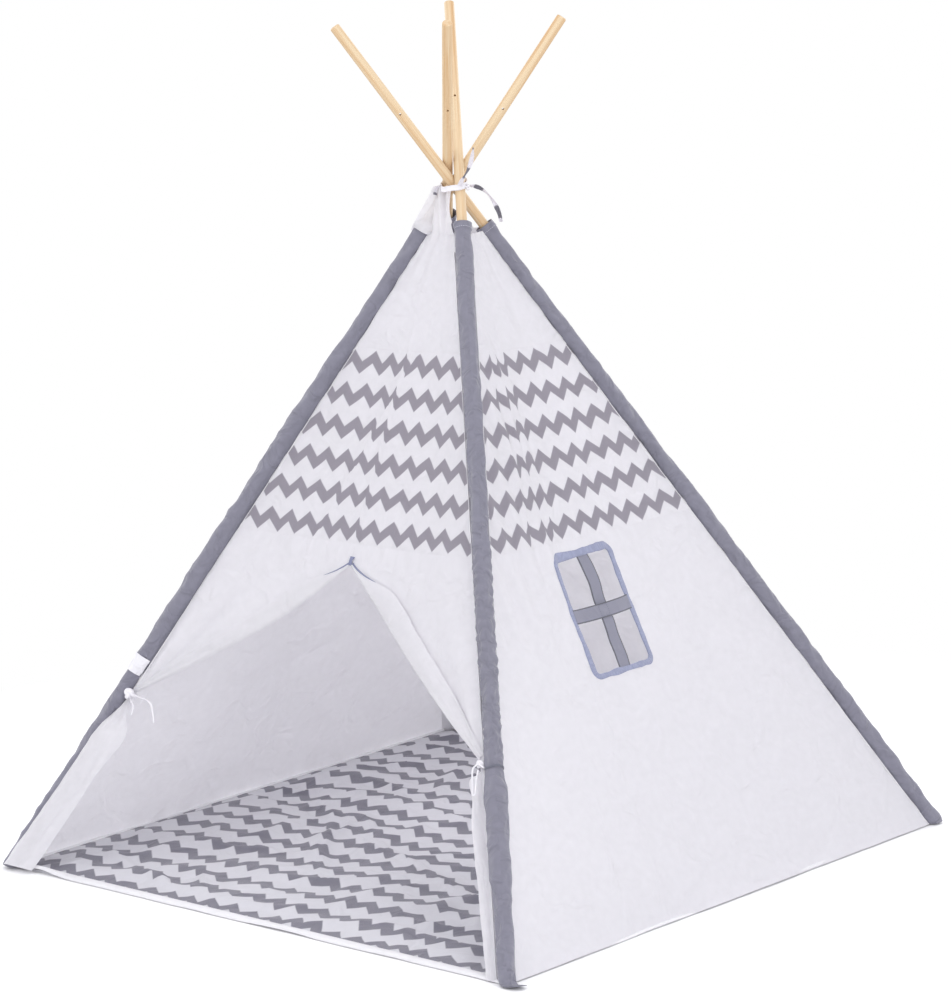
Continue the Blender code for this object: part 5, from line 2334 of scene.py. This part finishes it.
@dataclass(frozen=True)
class BareTag:
    """A blank, wrinkled satin tag wrapped round part of the left sleeve."""

    height: float = 0.361
    length: float = 0.034
    arc: float = math.radians(150)
    turn: float = math.radians(42)
    gap: float = 0.0018
    slant: float = 0.05

    def build(self) -> None:
        """Build the tag and let it ride on its sleeve."""
        level = POLES.drop(Corner.LEFT, self.height)
        sleeve_top = POLES.drop(Corner.LEFT, SLEEVES.top(Corner.LEFT))

        def place(share_round: float, share_up: float) -> Vector:
            """Place on the wrinkled tag, which follows the sleeve's cloth."""
            turn = self.turn + (share_round - 0.5) * self.arc
            bend = wobble(share_round * 2, share_up * 2, 7.4)
            ridge = 1 - 2 * abs(wobble(share_round * 7 + bend, share_up * 4 + bend, 4.4))
            wrinkle = 0.0008 * (ridge - 0.5) + 0.0010 * bend
            move = (share_up - 0.5 + self.slant * (share_round - 0.5)) * self.length
            radius = SLEEVES.radius_at(Corner.LEFT, turn, sleeve_top - level - move)
            return POLES.around(Corner.LEFT, radius + self.gap + wrinkle, turn, level + move)

        out = POLES.placement(Corner.LEFT).to_3x3() @ Vector((1, 0, 0))
        flat = plain_cut(self.arc * SLEEVES.radius, self.length)
        tag = cloth_grid("bare_tag", 48, 36, place, TAG_SATIN, flat, out, thickness=0.0005)
        dress(tag, "label_satin", "leg_left", "care_tag")


@dataclass(frozen=True)
class MatCrease:
    """A long crease in the mat, from one place to another."""

    start: tuple[float, float]
    end: tuple[float, float]
    tall: float
    wide: float = 0.010
    wander: float = 0.018

    def rise(self, across: float, deep: float) -> float:
        """How far the crease stands up at a place on the mat.

        Args:
            across: Place along X.
            deep: Place along Y.

        Returns:
            The height in metres.
        """
        way = Vector((self.end[0] - self.start[0], self.end[1] - self.start[1]))
        from_start = Vector((across - self.start[0], deep - self.start[1]))
        along = from_start.dot(way) / way.length_squared
        aside = (from_start - way * along).length
        aside -= self.wander * wobble(along * 4, self.start[0] * 9, 2.2)
        return self.tall * bell(aside, self.wide) * swell_between(along, 0, 0.2, 0.8, 0.2)


MAT_CREASES = (
    MatCrease((0.02, 0.50), (0.16, -0.05), 0.009),
    MatCrease((-0.14, 0.20), (0.20, 0.14), 0.008),
    MatCrease((-0.42, -0.30), (-0.12, -0.24), 0.008),
    MatCrease((-0.50, -0.44), (-0.26, -0.52), 0.007),
    MatCrease((-0.20, -0.10), (0.36, -0.32), 0.006),
    MatCrease((0.30, 0.10), (0.46, -0.22), 0.007),
    MatCrease((-0.36, 0.02), (-0.05, -0.36), 0.006),
)


@dataclass(frozen=True)
class FloorMat:
    """The printed mat on the floor, wrinkled on top, with a white hem round it.

    The hem's profile gives shares of its way out and heights, from the outer
    edge under it, over the top, to its inner edge.
    """

    half: float = 0.583
    edge: float = 0.5890
    thickness: float = 0.003
    wave: float = 0.010
    crease: float = 0.0085
    fine: float = 0.0030
    grain: float = 0.0008
    print_drift: float = 0.012
    hem: float = 0.014
    hidden_hem: float = 0.002
    hem_lift: float = 0.010
    hem_wander: float = 0.0018
    hem_steps: int = 110
    profile_shares: tuple = (
        (1.0, 0.0010), (1.0, 0.0038), (0.93, 0.0049), (0.5, 0.0050), (0.06, 0.0047), (0.0, 0.0033),
    )
    cells: int = 220

    def rise(self, across: float, deep: float) -> float:
        """Height of the mat's top above its thickness.

        Args:
            across: Place along X.
            deep: Place along Y.

        Returns:
            The height in metres.
        """
        edge = (self.half - max(abs(across), abs(deep))) / self.half
        broad = wobble(across / 0.26, deep / 0.17 + across * 2, 2.5)
        bend = wobble(across / 0.4, deep / 0.4, 6.5)
        ridge = 1 - 2.2 * abs(wobble(across / 0.14 + bend, deep / 0.08 + bend * 2, 8.5))
        second = 1 - 2.6 * abs(wobble(across / 0.07 - bend, deep / 0.11 + bend, 3.5))
        total = self.wave * max(0.0, broad) + self.crease * max(0.0, ridge) ** 1.5
        total += self.fine * max(0.0, second)
        total += sum(crease.rise(across, deep) for crease in MAT_CREASES)
        grain = self.grain * max(0.0, wobble(across / 0.03, deep / 0.03, 1))
        return total * ease(edge / 0.10) + grain

    def drift(self, across: float, deep: float) -> Vector:
        """How far the print is pulled aside by the wrinkles."""
        first = wobble(across / 0.12, deep / 0.09, 5.5)
        return Vector((first, wobble(across / 0.10, deep / 0.13, 9.5))) * self.print_drift

    def build(self) -> None:
        """Build the mat and its hem."""
        builder = bmesh.new()
        bmesh.ops.create_grid(
            builder, x_segments=self.cells, y_segments=self.cells, size=self.half
        )
        layer = builder.loops.layers.uv.new("cloth")
        for cell in builder.faces:
            for loop in cell.loops:
                spot = loop.vert.co
                loop[layer].uv = spot.xy + self.drift(spot.x, spot.y)
        grown = bmesh.ops.extrude_face_region(builder, geom=list(builder.faces))["geom"]
        for part in grown:
            if isinstance(part, bmesh.types.BMVert):
                part.co.z = self.thickness + self.rise(part.co.x, part.co.y)
        bmesh.ops.recalc_face_normals(builder, faces=builder.faces)
        name = "printed_floor_mat"
        mat = shown_object(name, mesh_of(builder, name), MAT_COTTON)
        mat.data.set_sharp_from_angle(angle=math.radians(50))
        dress(mat, "mat_cotton", "floor", "floor_mat")
        hem = self.build_hem()
        LOG.info("mat")

    def build_hem(self) -> bpy.types.Object:
        """Make the folded white hem round the mat's edge, lifted here and there."""
        corners = [Vector((x, y, 0)) for x, y in ((-1, -1), (1, -1), (1, 1), (-1, 1))]
        line = []
        for index, corner in enumerate(corners):
            after = corners[(index + 1) % 4]
            shares = [step / self.hem_steps for step in range(self.hem_steps)]
            line += [corner.lerp(after, share) for share in shares]
        line.append(line[0])
        rows = len(line) - 1
        layers = len(self.profile_shares) - 1

        def place(share_in: float, share_along: float) -> Vector:
            """Place on the hem; it shows and lifts only on the two open sides."""
            spot = line[round(share_along * rows)]
            out_share, rise = self.profile_shares[round(share_in * layers)]
            open_side = spot.y < -0.999 or spot.x > 0.999
            inner = self.half - (self.hem if open_side else self.hidden_hem)
            reach = mix(inner, self.edge, out_share)
            reach += self.hem_wander * wobble(spot.x * 7, spot.y * 7, 3.3) * out_share
            lifted = max(0.0, wobble(spot.x * 3.1, spot.y * 3.1, 1.3) - 0.15) * open_side
            lifted += bell(spot.x + 0.88, 0.07) * (spot.y < -0.999)
            rise += self.hem_lift * lifted * out_share * (1 if rise > 0.002 else 0.7)
            return Vector((spot.x * reach, spot.y * reach, rise))

        flat = plain_cut(self.hem, self.half * 8)
        hem = cloth_grid(
            "mat_hem", layers, rows, place, HEM_COTTON, flat, UP, thickness=0.0006, closed=True
        )
        dress(hem, "white_cotton", "floor")
        return hem


# Studio


@dataclass(frozen=True)
class Lamp:
    """A round soft lamp that can't be seen itself."""

    name: str
    place: tuple[float, float, float]
    size: float
    power: float
    aim: tuple[float, float, float] = (0, 0, 0.6)
    spread: float = math.pi

    def hang(self) -> None:
        """Hang the lamp so that it shines at its aim."""
        data = bpy.data.lights.new(self.name, "AREA")
        data.shape = "DISK"
        data.size = self.size
        data.energy = self.power
        data.spread = self.spread
        lamp = bpy.data.objects.new(self.name, data)
        back = Vector(self.place) - Vector(self.aim)
        turn = back.to_track_quat("Z", "Y").to_matrix().to_4x4()
        lamp.matrix_world = Matrix.Translation(self.place) @ turn
        lamp.visible_camera = False
        bpy.context.scene.collection.objects.link(lamp)


# Two lamps in front and one above, two behind that shine through the cloth, and one inside.
LAMPS = (
    Lamp("key_light", (-1.4, -4.4, 3.2), 3.0, 38.0),
    Lamp("fill_light", (4.4, -1.6, 2.2), 3.0, 54.0),
    Lamp("top_light", (0.6, -0.6, 4.8), 3.5, 38.0),
    Lamp("rear_light", (-0.5, 4.5, 2.2), 2.4, 62.0),
    Lamp("side_light", (-4.5, 0.5, 2.2), 2.4, 62.0),
    Lamp("inside_light", (0, 0.02, 0.98), 0.2, 1.4, (-0.05, 0.22, 0), math.radians(100)),
)


@dataclass(frozen=True)
class Studio:
    """A white studio with soft light, and the camera at the photograph's angle."""

    azimuth: float = 41.83
    elevation: float = 11.80
    roll: float = -1.84
    distance: float = 8.200
    lens: float = 174.84
    sensor: float = 36.0
    aim_side: float = 0.0203
    aim_height: float = 0.6351
    floor_size: float = 30
    floor_drop: float = 0.0005
    shadow_start: float = 0.85
    shadow_end: float = 1.6

    def build(self) -> None:
        """Set the camera, the lights, the floor and the surroundings."""
        self.build_camera()
        for lamp in LAMPS:
            lamp.hang()
        self.build_floor()
        self.build_world()
        bpy.context.scene.view_settings.view_transform = "Standard"

    def build_camera(self) -> None:
        """Place the camera by its angles round the aim point."""
        turn, rise = math.radians(self.azimuth), math.radians(self.elevation)
        across, deep = math.sin(turn) * math.cos(rise), -math.cos(turn) * math.cos(rise)
        back = Vector((across, deep, math.sin(rise)))
        side = Vector((math.cos(turn), math.sin(turn), 0))
        aim = side * self.aim_side + UP * self.aim_height
        data = bpy.data.cameras.new("camera")
        data.sensor_fit = "HORIZONTAL"
        data.sensor_width = self.sensor
        data.lens = self.lens
        data.clip_end = 100
        camera = bpy.data.objects.new("camera", data)
        bpy.context.scene.collection.objects.link(camera)
        upright = back.to_track_quat("Z", "Y").to_matrix().to_4x4()
        spin = Matrix.Rotation(math.radians(self.roll), 4, "Z")
        camera.matrix_world = Matrix.Translation(aim + back * self.distance) @ upright @ spin
        bpy.context.scene.camera = camera

    def build_floor(self) -> None:
        """A plain white floor that fades into the background."""
        builder = bmesh.new()
        below = Matrix.Translation(UP * -self.floor_drop)
        bmesh.ops.create_grid(
            builder, x_segments=1, y_segments=1, size=self.floor_size, matrix=below
        )
        mesh = mesh_of(builder, "studio_floor")
        paper = bpy.data.materials.new("white_studio_paper")
        paper.use_nodes = True
        tree = paper.node_tree
        tree.nodes.clear()
        place = add_node(tree, "TexCoord").outputs["Object"]
        away = add_node(tree, "VectorMath", operation="LENGTH", in_0=place).outputs["Value"]
        near = fade_out(tree, away, self.shadow_start, self.shadow_end)
        matt = add_node(tree, "BsdfDiffuse", in_Color=(1, 1, 1, 1)).outputs[0]
        glow = add_node(tree, "Emission", in_Color=(1, 1, 1, 1), in_Strength=1.0).outputs[0]
        both = add_node(tree, "MixShader", in_0=near, in_1=glow, in_2=matt)
        add_node(tree, "OutputMaterial", in_Surface=both.outputs[0])
        floor = bpy.data.objects.new("studio_floor", mesh)
        mesh.materials.append(paper)
        bpy.context.scene.collection.objects.link(floor)

    def build_world(self) -> None:
        """White to the camera and a soft grey-white light to everything else."""
        world = bpy.data.worlds.new("studio")
        bpy.context.scene.world = world
        world.use_nodes = True
        tree = world.node_tree
        tree.nodes.clear()
        path = add_node(tree, "LightPath").outputs
        seen = maths(tree, "MAXIMUM", path["Is Camera Ray"], path["Is Transmission Ray"])
        white = add_node(tree, "Background", in_Color=(1, 1, 1, 1), in_Strength=1.0)
        soft = add_node(tree, "Background", in_Color=linear("f3f3f8"), in_Strength=0.90)
        both = add_node(tree, "MixShader", in_0=seen, in_1=soft.outputs[0], in_2=white.outputs[0])
        add_node(tree, "OutputWorld", in_Surface=both.outputs[0])


def main() -> None:
    """Dress the whole teepee and set up the studio."""
    logging.basicConfig(level=logging.INFO)
    PoleSet().build()
    SLEEVES.build()
    Cover().build()
    CrownTie().build()
    DoorTies().build()
    BareTag().build()
    FloorMat().build()
    Studio().build()


if __name__ == "__main__":
    main()
